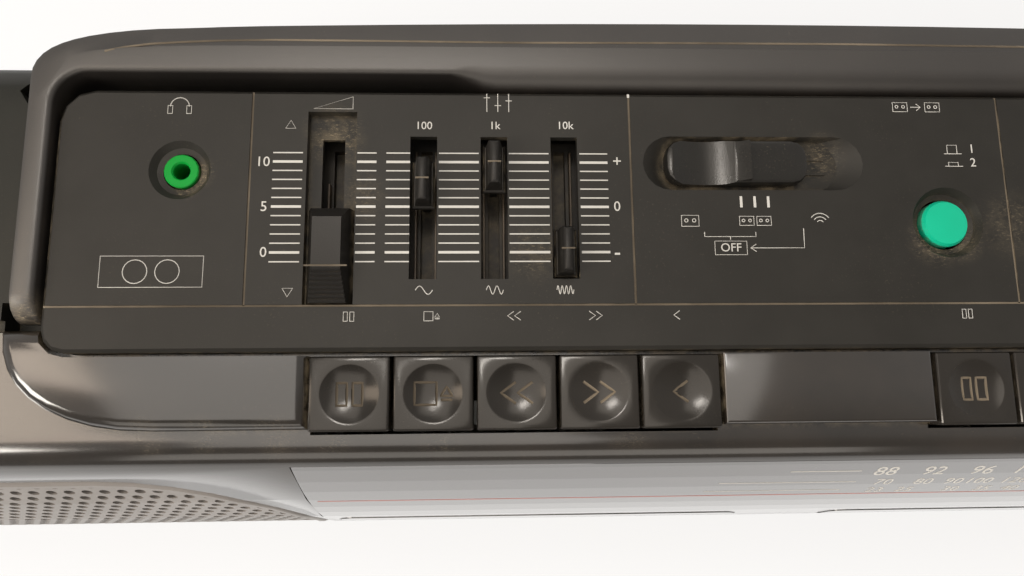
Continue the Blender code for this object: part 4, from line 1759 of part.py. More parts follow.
def antenna_rod():
    low = ANTENNA_PIVOT_Z - ANTENNA_TUBE_LENGTH - SEAT_GAP
    top = ANTENNA_PIVOT_Z - ANTENNA_SHOULDER - ANTENNA_FORK_RADIUS - RUN_GAP
    edge = ANTENNA_TIP_RADIUS / 4
    profile = [(0, low - ANTENNA_TIP_LENGTH), (ANTENNA_TIP_RADIUS - edge, low - ANTENNA_TIP_LENGTH),
               (ANTENNA_TIP_RADIUS, low - ANTENNA_TIP_LENGTH + edge), (ANTENNA_TIP_RADIUS, low),
               (ANTENNA_ROD_RADIUS, low), (ANTENNA_ROD_RADIUS, top), (0, top)]
    return finish(turned(profile, "Z", (ANTENNA_X, ANTENNA_Y, 0), 12), "antenna_rod", "plated",
                  (ANTENNA_X, ANTENNA_Y, ANTENNA_PIVOT_Z))


def build():
    clear_scene()
    front_cabinet()
    rear_cabinet()
    control_panel()
    carry_handle()
    keys()
    volume_knob()
    for name, share, offset in zip(EQ_NAMES, EQ_X_SHARES, EQ_OFFSETS):
        equaliser_knob(name, share_x(share), offset)
    switch_knob("function_knob", share_x(FUNCTION_X_SHARE))
    switch_knob("band_knob", share_x(BAND_X_SHARE))
    dub_speed_button()
    socket("headphone_socket", HEADPHONE_X_SHARE)
    socket("microphone_socket", MICROPHONE_X_SHARE)
    tuning_knob()
    control_board()
    dial_window()
    dial_pointer()
    decks()
    loudspeakers()
    battery_door()
    battery_contact(-1, "battery_contact_left")
    battery_contact(1, "battery_contact_right")
    mains_inlet()
    power_transformer()
    main_board()
    antenna_knuckle()
    antenna_tube()
    antenna_rod()


build()
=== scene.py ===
import json
import math
import bpy
from mathutils import Matrix, Vector

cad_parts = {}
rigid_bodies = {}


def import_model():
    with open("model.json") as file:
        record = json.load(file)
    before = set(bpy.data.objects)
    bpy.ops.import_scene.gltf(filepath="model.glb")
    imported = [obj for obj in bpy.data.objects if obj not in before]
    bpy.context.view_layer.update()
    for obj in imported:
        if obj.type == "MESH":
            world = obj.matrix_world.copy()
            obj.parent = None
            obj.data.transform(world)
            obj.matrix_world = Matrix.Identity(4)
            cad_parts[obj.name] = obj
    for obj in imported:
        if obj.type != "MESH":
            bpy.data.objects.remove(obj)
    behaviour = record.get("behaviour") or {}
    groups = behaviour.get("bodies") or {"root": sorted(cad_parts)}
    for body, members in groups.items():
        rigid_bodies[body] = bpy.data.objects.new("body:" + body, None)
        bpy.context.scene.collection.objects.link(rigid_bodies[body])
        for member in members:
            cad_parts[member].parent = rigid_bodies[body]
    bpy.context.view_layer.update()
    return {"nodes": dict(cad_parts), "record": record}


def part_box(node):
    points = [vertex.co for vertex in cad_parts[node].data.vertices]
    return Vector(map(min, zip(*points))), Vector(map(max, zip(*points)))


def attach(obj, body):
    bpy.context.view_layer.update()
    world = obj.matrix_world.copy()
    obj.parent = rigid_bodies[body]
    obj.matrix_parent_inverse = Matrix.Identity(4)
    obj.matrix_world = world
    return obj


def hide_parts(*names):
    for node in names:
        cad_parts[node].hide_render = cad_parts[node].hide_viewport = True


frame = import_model()
nodes = frame["nodes"]
mm = 0.001
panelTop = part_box("control_panel")[1].z
print("frame loaded:", len(nodes), "nodes")

# Camera, as the photograph was taken: from above, the lens over the left end
shot = {
    "place": (-81.69 * mm, -27.74 * mm, 313.7 * mm),
    "right": (0.99910, -0.01011, 0.04119),
    "down": (-0.00339, -0.98628, -0.16510),
    "ahead": (0.04233, 0.16482, -0.98543),
    "focalPixels": 750.0,
    "imageWidth": 1024.0,
    "sensor": 36.0,
    "nearest": 5 * mm,
}


def makeCamera():
    data = bpy.data.cameras.new("photoCamera")
    data.sensor_width = shot["sensor"]
    data.lens = shot["focalPixels"] / shot["imageWidth"] * shot["sensor"]
    data.clip_start = shot["nearest"]
    camera = bpy.data.objects.new("photoCamera", data)
    bpy.context.scene.collection.objects.link(camera)
    rows = zip(shot["right"], shot["down"], shot["ahead"])
    turn = Matrix([(right, -down, -ahead) for right, down, ahead in rows])
    camera.matrix_world = Matrix.Translation(shot["place"]) @ turn.to_4x4()
    bpy.context.scene.camera = camera


makeCamera()
print("camera set")

# Selecting and shaping, as by hand


def pickOnly(piece):
    if bpy.context.object and bpy.context.object.mode != "OBJECT":
        bpy.ops.object.mode_set(mode="OBJECT")
    bpy.ops.object.select_all(action="DESELECT")
    piece.select_set(True)
    bpy.context.view_layer.objects.active = piece


def editAll(piece):
    pickOnly(piece)
    bpy.ops.object.mode_set(mode="EDIT")
    bpy.ops.mesh.select_all(action="SELECT")


def leaveEdit():
    bpy.ops.object.mode_set(mode="OBJECT")


def editNone(piece, kind):
    # Opens edit mode for edges or faces with nothing selected
    editAll(piece)
    bpy.ops.mesh.select_mode(type=kind)
    bpy.ops.mesh.select_all(action="DESELECT")


def editEdges(piece, test):
    # Opens edit mode with only the edges selected whose two ends pass the test
    editNone(piece, "EDGE")
    leaveEdit()
    points = piece.data.vertices
    for edge in piece.data.edges:
        edge.select = test(points[edge.vertices[0]].co, points[edge.vertices[1]].co)
    bpy.ops.object.mode_set(mode="EDIT")


def editFaces(piece, test):
    # Opens edit mode with only the faces selected whose centre and normal pass the test
    editNone(piece, "FACE")
    leaveEdit()
    for face in piece.data.polygons:
        face.select = test(face.center, face.normal)
    bpy.ops.object.mode_set(mode="EDIT")


def faceOut(piece):
    editAll(piece)
    bpy.ops.mesh.normals_make_consistent(inside=False)
    leaveEdit()


def roundEdges(piece, test, width, segments=2):
    editEdges(piece, test)
    bpy.ops.mesh.bevel(offset=width, segments=segments, profile=0.5, affect="EDGES", clamp_overlap=False)
    leaveEdit()


def smooth(piece, degrees):
    pickOnly(piece)
    bpy.ops.object.shade_smooth_by_angle(angle=math.radians(degrees))


def modify(piece, kind, **settings):
    pickOnly(piece)
    modifier = piece.modifiers.new(kind.lower(), kind)
    for key, value in settings.items():
        setattr(modifier, key, value)
    bpy.ops.object.modifier_apply(modifier=modifier.name)


def cutAway(piece, cutter):
    modify(piece, "BOOLEAN", operation="DIFFERENCE", solver="EXACT", object=cutter)
    bpy.data.objects.remove(cutter)


def joinTo(piece, *others):
    pickOnly(piece)
    for other in others:
        other.select_set(True)
    bpy.ops.object.join()
    return piece


def addBox(name, low, high):
    centre = [(a + b) / 2 for a, b in zip(low, high)]
    pickOnly(nodes["control_panel"])
    bpy.ops.mesh.primitive_cube_add(size=1, location=centre)
    piece = bpy.context.object
    piece.name = name
    piece.scale = [b - a for a, b in zip(low, high)]
    bpy.ops.object.transform_apply(location=True, rotation=True, scale=True)
    return piece


def dress(piece, material, body, slot, *replaced):
    # Gives a finished piece its material and its body, and hides the nodes that it stands for
    if material:
        piece.data.materials.clear()
        piece.data.materials.append(material)
    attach(piece, body)
    if replaced:
        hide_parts(*replaced)


skinSet = {"weld": 0.004 * mm, "flat": 0.4, "angle": 32, "panelAngle": 18, "bandScale": (0.996, 0.99, 1)}


def skinOf(node, name, degrees=skinSet["angle"]):
    # A copy of a node with its points joined, so that its curves can be smooth and its edges rounded
    pickOnly(nodes[node])
    bpy.ops.object.duplicate()
    piece = bpy.context.object
    bpy.ops.object.parent_clear(type="CLEAR_KEEP_TRANSFORM")
    piece.name = name
    for key in [key for key in piece.keys() if key.startswith("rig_")]:
        del piece[key]
    bpy.ops.mesh.customdata_custom_splitnormals_clear()
    editAll(piece)
    bpy.ops.mesh.remove_doubles(threshold=skinSet["weld"])
    bpy.ops.mesh.dissolve_limited(angle_limit=math.radians(skinSet["flat"]))
    leaveEdit()
    smooth(piece, degrees)
    return piece


def moveMesh(piece, offset):
    editAll(piece)
    bpy.ops.transform.translate(value=offset)
    leaveEdit()
    return piece


def copyOf(piece, name, offset):
    pickOnly(piece)
    bpy.ops.object.duplicate()
    made = bpy.context.object
    made.name = name
    return moveMesh(made, offset) if any(offset) else made


def addTube(name, lines, radius, sides=6):
    # Thin tubes along lists of points, as one mesh; a list that ends where it starts is closed
    curve = bpy.data.curves.new(name, "CURVE")
    curve.dimensions = "3D"
    curve.bevel_depth = radius
    curve.bevel_resolution = (sides - 4) // 2
    curve.use_fill_caps = True
    for line in lines:
        closed = line[0] == line[-1]
        points = line[:-1] if closed else line
        spline = curve.splines.new("POLY")
        spline.points.add(len(points) - 1)
        spline.use_cyclic_u = closed
        for point, place in zip(spline.points, points):
            point.co = (*place, 1)
    made = bpy.data.objects.new(name, curve)
    bpy.context.scene.collection.objects.link(made)
    pickOnly(made)
    bpy.ops.object.convert(target="MESH")
    return bpy.context.object


def addNumber(text, place, size, thick, turn=0.0):
    # A printed figure with its middle at the place, flat unless it is turned up
    pickOnly(nodes["control_panel"])
    bpy.ops.object.text_add(location=place, rotation=(turn, 0, 0))
    made = bpy.context.object
    made.data.body = text
    made.data.size = size
    made.data.extrude = thick / 2
    made.data.align_x = "CENTER"
    made.data.align_y = "CENTER"
    made.data.resolution_u = 3
    bpy.ops.object.convert(target="MESH")
    bpy.ops.object.transform_apply(location=True, rotation=True, scale=True)
    return bpy.context.object


# Node groups that the finishes share


def newGroup(name, inputs, output):
    group = bpy.data.node_groups.new(name, "ShaderNodeTree")
    for socket, default in inputs.items():
        made = group.interface.new_socket(socket, in_out="INPUT", socket_type="NodeSocketFloat")
        made.default_value = default
    group.interface.new_socket(output, in_out="OUTPUT", socket_type="NodeSocketFloat")
    return group, group.nodes.new("NodeGroupInput"), group.nodes.new("NodeGroupOutput")


def link(tree, source, target):
    tree.links.new(source, target)


def feed(tree, socket, value):
    # A socket takes another node's output, a colour or a plain number
    if isinstance(value, bpy.types.NodeSocket):
        link(tree, value, socket)
    else:
        socket.default_value = (*value, 1) if isinstance(value, tuple) else value


def mathNode(tree, operation, first, second=None, third=None):
    node = tree.nodes.new("ShaderNodeMath")
    node.operation = operation
    node.use_clamp = operation == "MULTIPLY_ADD"
    for socket, value in zip(node.inputs, (first, second, third)):
        if value is not None:
            feed(tree, socket, value)
    return node.outputs[0]


def noiseNode(tree, scale, detail, roughness, stretch=None):
    # Noise on the object's own coordinates, with its scale in bumps per metre
    place = tree.nodes.new("ShaderNodeTexCoord")
    noise = tree.nodes.new("ShaderNodeTexNoise")
    noise.inputs["Detail"].default_value = detail
    noise.inputs["Roughness"].default_value = roughness
    feed(tree, noise.inputs["Scale"], scale)
    if stretch:
        mapping = tree.nodes.new("ShaderNodeMapping")
        mapping.inputs["Scale"].default_value = stretch
        link(tree, place.outputs["Object"], mapping.inputs["Vector"])
        link(tree, mapping.outputs["Vector"], noise.inputs["Vector"])
    else:
        link(tree, place.outputs["Object"], noise.inputs["Vector"])
    return noise.outputs["Fac"]


def rampNode(tree, value, low, high):
    ramp = tree.nodes.new("ShaderNodeMapRange")
    ramp.interpolation_type = "SMOOTHSTEP"
    link(tree, value, ramp.inputs["Value"])
    ramp.inputs["From Min"].default_value = low
    ramp.inputs["From Max"].default_value = high
    return ramp.outputs["Result"]


# Noise that finishes share: bumps per metre, detail, roughness, where it starts and is full, and its stretch
patterns = {
    "dustPatches": (240.0, 4.0, 0.65, 0.34, 0.72, None),
    "dustSpecks": (1900.0, 2.0, 0.7, 0.60, 0.80, None),
    "dustCloud": (55.0, 3.0, 0.6, 0.40, 0.75, None),
    "rubbedAlong": (90.0, 4.0, 0.7, 0.60, 0.78, (0.25, 2.2, 2.2)),
    "rubbedAcross": (120.0, 3.0, 0.6, 0.62, 0.80, (2.0, 0.4, 1.0)),
    "spotSpecks": (1900.0, 4.0, 0.8, 0.53, 0.68, (0.6, 1.4, 1.0)),
    "spotPatches": (300.0, 4.0, 0.7, 0.35, 0.65, None),
    "unevenColour": (35.0, 4.0, 0.6, 0.35, 0.70, None),
    "windowHaze": (160.0, 3.0, 0.6, 0.55, 0.80, (0.4, 2.0, 2.0)),
}


def patternNode(tree, name):
    scale, detail, roughness, low, high, stretch = patterns[name]
    return rampNode(tree, noiseNode(tree, scale, detail, roughness, stretch), low, high)


def makeGrainGroup():
    # Fine pitted texture of a moulded part
    group, start, end = newGroup("mouldedGrain", {"Scale": 2600.0}, "Height")
    link(group, noiseNode(group, start.outputs["Scale"], 2.0, 0.6), end.inputs["Height"])
    return group


dustSet = {"samples": 6, "open": 0.30, "shut": 0.85, "colour": (0.30, 0.235, 0.150), "roughness": 0.5}


def makeDustGroup():
    # Dust lies where a surface is shut in, broken up by noise, with a thin film of specks elsewhere
    group, start, end = newGroup("settledDust", {"Amount": 1.0, "Film": 0.1, "Reach": 0.003}, "Mask")
    shut = group.nodes.new("ShaderNodeAmbientOcclusion")
    shut.samples = dustSet["samples"]
    link(group, start.outputs["Reach"], shut.inputs["Distance"])
    corner = mathNode(group, "SUBTRACT", 1.0, shut.outputs["AO"])
    corner = rampNode(group, corner, dustSet["open"], dustSet["shut"])
    corner = mathNode(group, "MULTIPLY", corner, patternNode(group, "dustPatches"))
    corner = mathNode(group, "MULTIPLY", corner, start.outputs["Amount"])
    film = mathNode(group, "MULTIPLY", patternNode(group, "dustSpecks"), patternNode(group, "dustCloud"))
    film = mathNode(group, "MULTIPLY", film, start.outputs["Film"])
    link(group, mathNode(group, "MAXIMUM", corner, film), end.inputs["Mask"])
    return group


def makeRubGroup():
    # Long light scuffs, as handling leaves on satin plastic
    group, start, end = newGroup("rubbedMarks", {"Amount": 1.0}, "Mask")
    both = mathNode(group, "MAXIMUM", patternNode(group, "rubbedAlong"), patternNode(group, "rubbedAcross"))
    link(group, mathNode(group, "MULTIPLY", both, start.outputs["Amount"]), end.inputs["Mask"])
    return group


grainGroup = makeGrainGroup()
dustGroup = makeDustGroup()
rubGroup = makeRubGroup()


def addGroup(tree, group, **values):
    node = tree.nodes.new("ShaderNodeGroup")
    node.node_tree = group
    for key, value in values.items():
        node.inputs[key].default_value = value
    return node.outputs[0]


def mixColour(tree, mask, first, second):
    mix = tree.nodes.new("ShaderNodeMix")
    mix.data_type = "RGBA"
    link(tree, mask, mix.inputs[0])
    feed(tree, mix.inputs[6], first)
    feed(tree, mix.inputs[7], second)
    return mix.outputs[2]


def pickValue(tree, mask, first, second):
    mix = tree.nodes.new("ShaderNodeMix")
    mix.data_type = "FLOAT"
    link(tree, mask, mix.inputs[0])
    feed(tree, mix.inputs[2], first)
    feed(tree, mix.inputs[3], second)
    return mix.outputs[0]


def mixValue(tree, mask, low, high):
    spread = tree.nodes.new("ShaderNodeMapRange")
    link(tree, mask, spread.inputs["Value"])
    spread.inputs["To Min"].default_value = low
    spread.inputs["To Max"].default_value = high
    return spread.outputs["Result"]


def newMaterial(name):
    material = bpy.data.materials.new(name)
    material.use_nodes = True
    tree = material.node_tree
    return material, tree, tree.nodes["Principled BSDF"]


def addBump(tree, shader, height, strength, distance):
    bump = tree.nodes.new("ShaderNodeBump")
    bump.inputs["Strength"].default_value = strength
    bump.inputs["Distance"].default_value = distance
    link(tree, height, bump.inputs["Height"])
    link(tree, bump.outputs["Normal"], shader.inputs["Normal"])


def spotMask(tree, places):
    # Where dust lies thickest: each place is a centre in millimetres, a reach and a strength
    where = tree.nodes.new("ShaderNodeTexCoord")
    total = None
    for centre, reach, strength in places:
        away = tree.nodes.new("ShaderNodeVectorMath")
        away.operation = "DISTANCE"
        link(tree, where.outputs["Object"], away.inputs[0])
        away.inputs[1].default_value = [part * mm for part in centre]
        near = mathNode(tree, "MULTIPLY", rampNode(tree, away.outputs["Value"], reach * mm, 0.0), strength)
        total = near if total is None else mathNode(tree, "MAXIMUM", total, near)
    specks = patternNode(tree, "spotSpecks")
    patches = mathNode(tree, "MULTIPLY_ADD", patternNode(tree, "spotPatches"), 0.30, specks)
    return mathNode(tree, "MULTIPLY", total, patches)


plasticSet = {"wear": 0.16, "warmTint": (1.0, 0.93, 0.85), "coatRoughness": 0.14, "grainHeight": 0.05 * mm}


def plastic(name, colour, lighter, roughness, dust=0.8, film=0.10, reach=0.003, grain=2600.0, depth=0.35,
            rub=0.3, shine=0.5, coat=0.0, spots=()):
    # Moulded plastic: slightly uneven in colour, pitted, rubbed and dusty
    material, tree, shader = newMaterial(name)
    rubbed = addGroup(tree, rubGroup, Amount=rub)
    dusty = addGroup(tree, dustGroup, Amount=dust, Film=film, Reach=reach)
    if spots:
        dusty = mathNode(tree, "MAXIMUM", dusty, spotMask(tree, spots))
    body = mixColour(tree, patternNode(tree, "unevenColour"), colour, lighter)
    link(tree, mixColour(tree, dusty, body, dustSet["colour"]), shader.inputs["Base Color"])
    worn = mixValue(tree, rubbed, roughness, roughness + plasticSet["wear"])
    rough = mathNode(tree, "MULTIPLY_ADD", dusty, dustSet["roughness"], worn)
    link(tree, rough, shader.inputs["Roughness"])
    shader.inputs["Specular IOR Level"].default_value = shine
    shader.inputs["Specular Tint"].default_value = (*plasticSet["warmTint"], 1)
    shader.inputs["Coat Weight"].default_value = coat
    shader.inputs["Coat Roughness"].default_value = plasticSet["coatRoughness"]
    addBump(tree, shader, addGroup(tree, grainGroup, Scale=grain), depth, plasticSet["grainHeight"])
    return material


metalSet = {"streaks": (60.0, 5.0, 0.7), "seen": (0.3, 0.7), "polish": (0.7, 1.4)}


def metal(name, colour, darker, roughness, stretch=(1.0, 1.0, 30.0)):
    # Bare or plated metal, streaked along one way
    material, tree, shader = newMaterial(name)
    streaks = noiseNode(tree, *metalSet["streaks"], stretch)
    body = mixColour(tree, rampNode(tree, streaks, *metalSet["seen"]), colour, darker)
    link(tree, body, shader.inputs["Base Color"])
    smoothest, roughest = (roughness * share for share in metalSet["polish"])
    link(tree, mixValue(tree, streaks, smoothest, roughest), shader.inputs["Roughness"])
    shader.inputs["Metallic"].default_value = 1.0
    return material


acrylicSet = {"hazeGain": 1.25, "roughness": (0.06, 0.16), "ior": 1.49, "coatIor": 1.85,
              "coatRoughness": 0.05}


def smokedAcrylic(name, colour, clearness, coat=0.0):
    # Dark clear plastic with a faint haze
    material, tree, shader = newMaterial(name)
    haze = patternNode(tree, "windowHaze")
    hazy = tuple(acrylicSet["hazeGain"] * part for part in colour)
    link(tree, mixColour(tree, haze, colour, hazy), shader.inputs["Base Color"])
    link(tree, mixValue(tree, haze, *acrylicSet["roughness"]), shader.inputs["Roughness"])
    shader.inputs["Transmission Weight"].default_value = clearness
    shader.inputs["IOR"].default_value = acrylicSet["ior"]
    shader.inputs["Coat Weight"].default_value = coat
    shader.inputs["Coat IOR"].default_value = acrylicSet["coatIor"]
    shader.inputs["Coat Roughness"].default_value = acrylicSet["coatRoughness"]
    return material


# Where dust has gathered: centre in millimetres, reach, strength
dustSpots = {
    "cabinet": [((-188, -14, 157), 8, 0.4), ((-150, -33, 157), 7, 0.4), ((-138, -33, 157), 7, 0.4),
                ((-124, -33, 157), 7, 0.4), ((-112, -33, 157), 7, 0.4), ((-90, -33, 157), 8, 0.3),
                ((-50, -33, 157), 8, 0.25)],
    "panel": [((-141.2, 23.4, 156.5), 4.5, 1.0), ((-6, 28, 156), 7, 0.6), ((18, 9, 156.5), 8, 1.0),
              ((23, 9, 156.5), 7, 0.8), ((-143.8, 20.4, 156.5), 4, 1.0), ((-113, 32, 155), 9, 0.9),
              ((-107, 18, 155), 8, 0.5), ((-70, 6, 157.8), 9, 0.35), ((35, 12, 157.8), 10, 0.3)],
    "handle": [((-175, -7, 157), 7, 1.0), ((175, -7, 157), 7, 0.8)],
}
finishes = {
    "cabinet": plastic("cabinetPlastic", (0.014, 0.011, 0.008), (0.024, 0.018, 0.013), 0.17, film=0.16,
                       depth=0.2, shine=0.38, coat=1.0, spots=dustSpots["cabinet"]),
    "panel": plastic("panelPlastic", (0.016, 0.0145, 0.012), (0.021, 0.019, 0.016), 0.50, film=0.14,
                     grain=3400.0, shine=0.26, spots=dustSpots["panel"]),
    "handle": plastic("handlePlastic", (0.010, 0.008, 0.007), (0.016, 0.013, 0.011), 0.45, dust=0.0,
                      film=0.16, depth=0.30, shine=1.0, spots=dustSpots["handle"]),
    "key": plastic("keyPlastic", (0.011, 0.009, 0.007), (0.018, 0.015, 0.012), 0.17, dust=1.0, film=0.16,
                   reach=0.0009, depth=0.15, shine=0.44),
    "knob": plastic("knobPlastic", (0.009, 0.008, 0.007), (0.014, 0.013, 0.011), 0.22, film=0.24,
                    reach=0.0012, rub=0.6, shine=0.4),
    "green": plastic("greenPlastic", (0.004, 0.42, 0.235), (0.006, 0.47, 0.27), 0.20, dust=0.5, film=0.05,
                     rub=0.1, shine=0.3),
    "ring": plastic("ringPlastic", (0.004, 0.25, 0.030), (0.007, 0.31, 0.045), 0.24, dust=0.5, film=0.05,
                    rub=0.1, shine=0.15),
    "fader": plastic("faderPlastic", (0.008, 0.007, 0.006), (0.016, 0.014, 0.012), 0.42, film=0.30,
                     reach=0.0012, rub=0.8, shine=0.3),
    "grille": plastic("grillePaint", (0.20, 0.178, 0.160), (0.24, 0.215, 0.195), 0.38, film=0.12),
    "cone": plastic("conePaper", (0.014, 0.013, 0.013), (0.024, 0.022, 0.021), 0.85, grain=1500.0, depth=0.9),
    "board": plastic("boardLaminate", (0.25, 0.15, 0.06), (0.30, 0.19, 0.08), 0.55, grain=900.0, depth=0.5),
    "red": plastic("redPaint", (0.55, 0.02, 0.015), (0.62, 0.03, 0.02), 0.30, dust=0.2, film=0.02),
    "rubber": plastic("blackRubber", (0.012, 0.012, 0.012), (0.018, 0.017, 0.017), 0.70, depth=0.6),
    "spindle": plastic("spindlePlastic", (0.50, 0.48, 0.44), (0.55, 0.53, 0.48), 0.40, dust=0.4),
    "laminate": metal("varnishedIron", (0.20, 0.18, 0.16), (0.12, 0.11, 0.10), 0.50, (1.0, 60.0, 1.0)),
    "steel": metal("zincPlate", (0.55, 0.54, 0.50), (0.42, 0.41, 0.38), 0.34),
    "plated": metal("brightPlate", (0.78, 0.77, 0.74), (0.66, 0.65, 0.62), 0.14),
    "clear": smokedAcrylic("smokedWindow", (0.09, 0.085, 0.08), 0.7),
    "dial": smokedAcrylic("dialWindow", (0.060, 0.053, 0.048), 0.15, 1.0),
    "shell": plastic("rearPlastic", (0.013, 0.013, 0.010), (0.017, 0.016, 0.012), 0.48, shine=0.26),
    "potBoard": plastic("potBoard", (0.010, 0.009, 0.008), (0.030, 0.022, 0.014), 0.60, film=0.3,
                        grain=900.0),
    "print": plastic("printedInk", (0.50, 0.47, 0.42), (0.60, 0.57, 0.52), 0.50, dust=0.3, film=0.35,
                     grain=5000.0),
    "redPrint": plastic("redInk", (0.42, 0.13, 0.11), (0.48, 0.17, 0.14), 0.40, dust=0.1, film=0.1),
    "packedDust": plastic("packedDust", (0.09, 0.070, 0.048), (0.21, 0.168, 0.118), 0.90, dust=0.2, film=0.5,
                          depth=0.9),
    "rail": plastic("brownRail", (0.055, 0.036, 0.020), (0.115, 0.080, 0.048), 0.45, film=0.4),
}
slotOf = {row["node"]: row["material_slot"] for row in frame["record"]["subparts"]}
bodyOf = {name: body for body, names in frame["record"]["behaviour"]["bodies"].items() for name in names}

# Nodes whose finish isn't the one named after their slot
finishOf = {"rear_cabinet": "shell", "head_plate_left": "laminate", "head_plate_right": "laminate",
            "control_board": "potBoard", "dial_window": "dial", "headphone_socket": "ring",
            "volume_knob": "fader", "bass_knob": "fader", "mid_knob": "fader", "treble_knob": "fader"}
for name, node in nodes.items():
    node.data.materials.clear()
    node.data.materials.append(finishes[finishOf.get(name, slotOf[name])])
print("finishes made:", len(finishes))

gripBow = {"from": 50 * mm, "to": 57.8 * mm, "most": 1.25 * mm, "fall": 2.2 * mm, "half": 142 * mm,
           "step": 20 * mm, "steps": 7}


def bowGrip(piece):
    # The grip's back edge stands out most over the middle; cuts across it let it bend
    for k in range(-gripBow["steps"], gripBow["steps"] + 1):
        editAll(piece)
        bpy.ops.mesh.bisect(plane_co=(gripBow["step"] * k, 0, 0), plane_no=(1, 0, 0))
        leaveEdit()
    for point in piece.data.vertices:
        share = min(1, max(0, (point.co.y - gripBow["from"]) / (gripBow["to"] - gripBow["from"])))
        aside = min(1, abs(point.co.x) / gripBow["half"])
        point.co.y += share * (gripBow["most"] - gripBow["fall"] * aside ** 2)


# Smooth skins over the main mouldings
skins = ["front_cabinet", "rear_cabinet", "control_panel", "carry_handle", "cassette_door_left",
         "cassette_door_right", "battery_door", "volume_knob", "bass_knob", "mid_knob", "treble_knob",
         "function_knob", "band_knob", "tuning_knob", "dub_speed_button", "headphone_socket",
         "microphone_socket", "speaker_left", "speaker_right", "speaker_cone_left", "speaker_cone_right",
         "antenna_tube", "antenna_rod", "antenna_knuckle"]
for name in skins:
    piece = skinOf(name, name + "_skin", skinSet["panelAngle" if name == "control_panel" else "angle"])
    if name == "carry_handle":
        bowGrip(piece)
    if name == "band_knob":
        # A little smaller, so that it clears the panel at both ends of its slide
        low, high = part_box(name)
        editAll(piece)
        bpy.ops.transform.resize(value=skinSet["bandScale"], center_override=(low + high) / 2)
        leaveEdit()
    dress(piece, finishes[finishOf.get(name, slotOf[name])], bodyOf[name], slotOf[name], name)
print("skins made:", len(skins))

# Keys: caps with a round dish, and the sign of each engraved in its dish
keySet = {"height": 14 * mm, "stemInset": 5.6 * mm, "edge": 0.55 * mm, "dishRadius": 6.15 * mm,
          "dishDepth": 1.1 * mm, "rim": 0.3 * mm, "groove": 0.29 * mm, "signDown": 0.1 * mm, "signSteps": 4,
          "dustFrom": 0.03 * mm, "angle": 24, "ballSegments": 72, "ballRings": 64}
dishBall = (keySet["dishRadius"] ** 2 + keySet["dishDepth"] ** 2) / (2 * keySet["dishDepth"])
signs = {
    "pause": [[(-2.6, -2.3), (-0.6, -2.3), (-0.6, 2.3), (-2.6, 2.3), (-2.6, -2.3)],
              [(0.6, -2.3), (2.6, -2.3), (2.6, 2.3), (0.6, 2.3), (0.6, -2.3)]],
    "stop": [[(-3.9, -2.3), (0.6, -2.3), (0.6, 2.3), (-3.9, 2.3), (-3.9, -2.3)],
             [(1.5, -0.5), (3.9, -0.5), (2.7, 1.4), (1.5, -0.5)], [(1.5, -1.3), (3.9, -1.3)]],
    "left": [[(-0.2, -2.2), (-3.3, 0), (-0.2, 2.2)], [(3.3, -2.2), (0.2, 0), (3.3, 2.2)]],
    "right": [[(-3.3, -2.2), (-0.2, 0), (-3.3, 2.2)], [(0.2, -2.2), (3.3, 0), (0.2, 2.2)]],
    "play": [[(1.5, -2.2), (-1.5, 0), (1.5, 2.2)]],
    "record": [[(2.4 * math.cos(k * math.tau / 20), 2.4 * math.sin(k * math.tau / 20)) for k in range(20)]],
}
signs["record"][0].append(signs["record"][0][0])
keySigns = {"pause_key": "pause", "stop_eject_key": "stop", "fast_forward_key": "left", "rewind_key": "right",
            "play_key": "play", "record_key": "record"}


def dishDrop(x, y):
    # How far below the key's top its dish lies, at a point measured from the dish's middle
    return keySet["dishDepth"] - dishBall + math.sqrt(dishBall ** 2 - x ** 2 - y ** 2)


def makeBlankKey():
    # A key cap on a narrower stem, with its dish but without a sign
    low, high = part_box("pause_key_left")
    middle = Vector(((low.x + high.x) / 2, (low.y + high.y) / 2))
    foot = high.z - keySet["height"]
    piece = addBox("blankKey", (low.x, low.y, foot), high)
    editFaces(piece, lambda centre, normal: normal.z < -0.9)
    bpy.ops.mesh.inset(thickness=keySet["stemInset"])
    bpy.ops.mesh.extrude_region_move(TRANSFORM_OT_translate={"value": (0, 0, low.z - foot)})
    leaveEdit()

    def onCap(a, b):
        return min(a.z, b.z) > foot - 0.1 * mm and max(a.z, b.z) > foot + mm
    roundEdges(piece, onCap, keySet["edge"], 3)
    pickOnly(piece)
    bpy.ops.mesh.primitive_uv_sphere_add(segments=keySet["ballSegments"], ring_count=keySet["ballRings"],
                                         radius=dishBall,
                                         location=(*middle, high.z - keySet["dishDepth"] + dishBall))
    cutAway(piece, bpy.context.object)

    def onRim(a, b):
        return all(point.z > high.z - 0.02 * mm
                   and abs((point.xy - middle).length - keySet["dishRadius"]) < 0.06 * mm for point in (a, b))
    roundEdges(piece, onRim, keySet["rim"], 2)
    return piece, middle, high.z


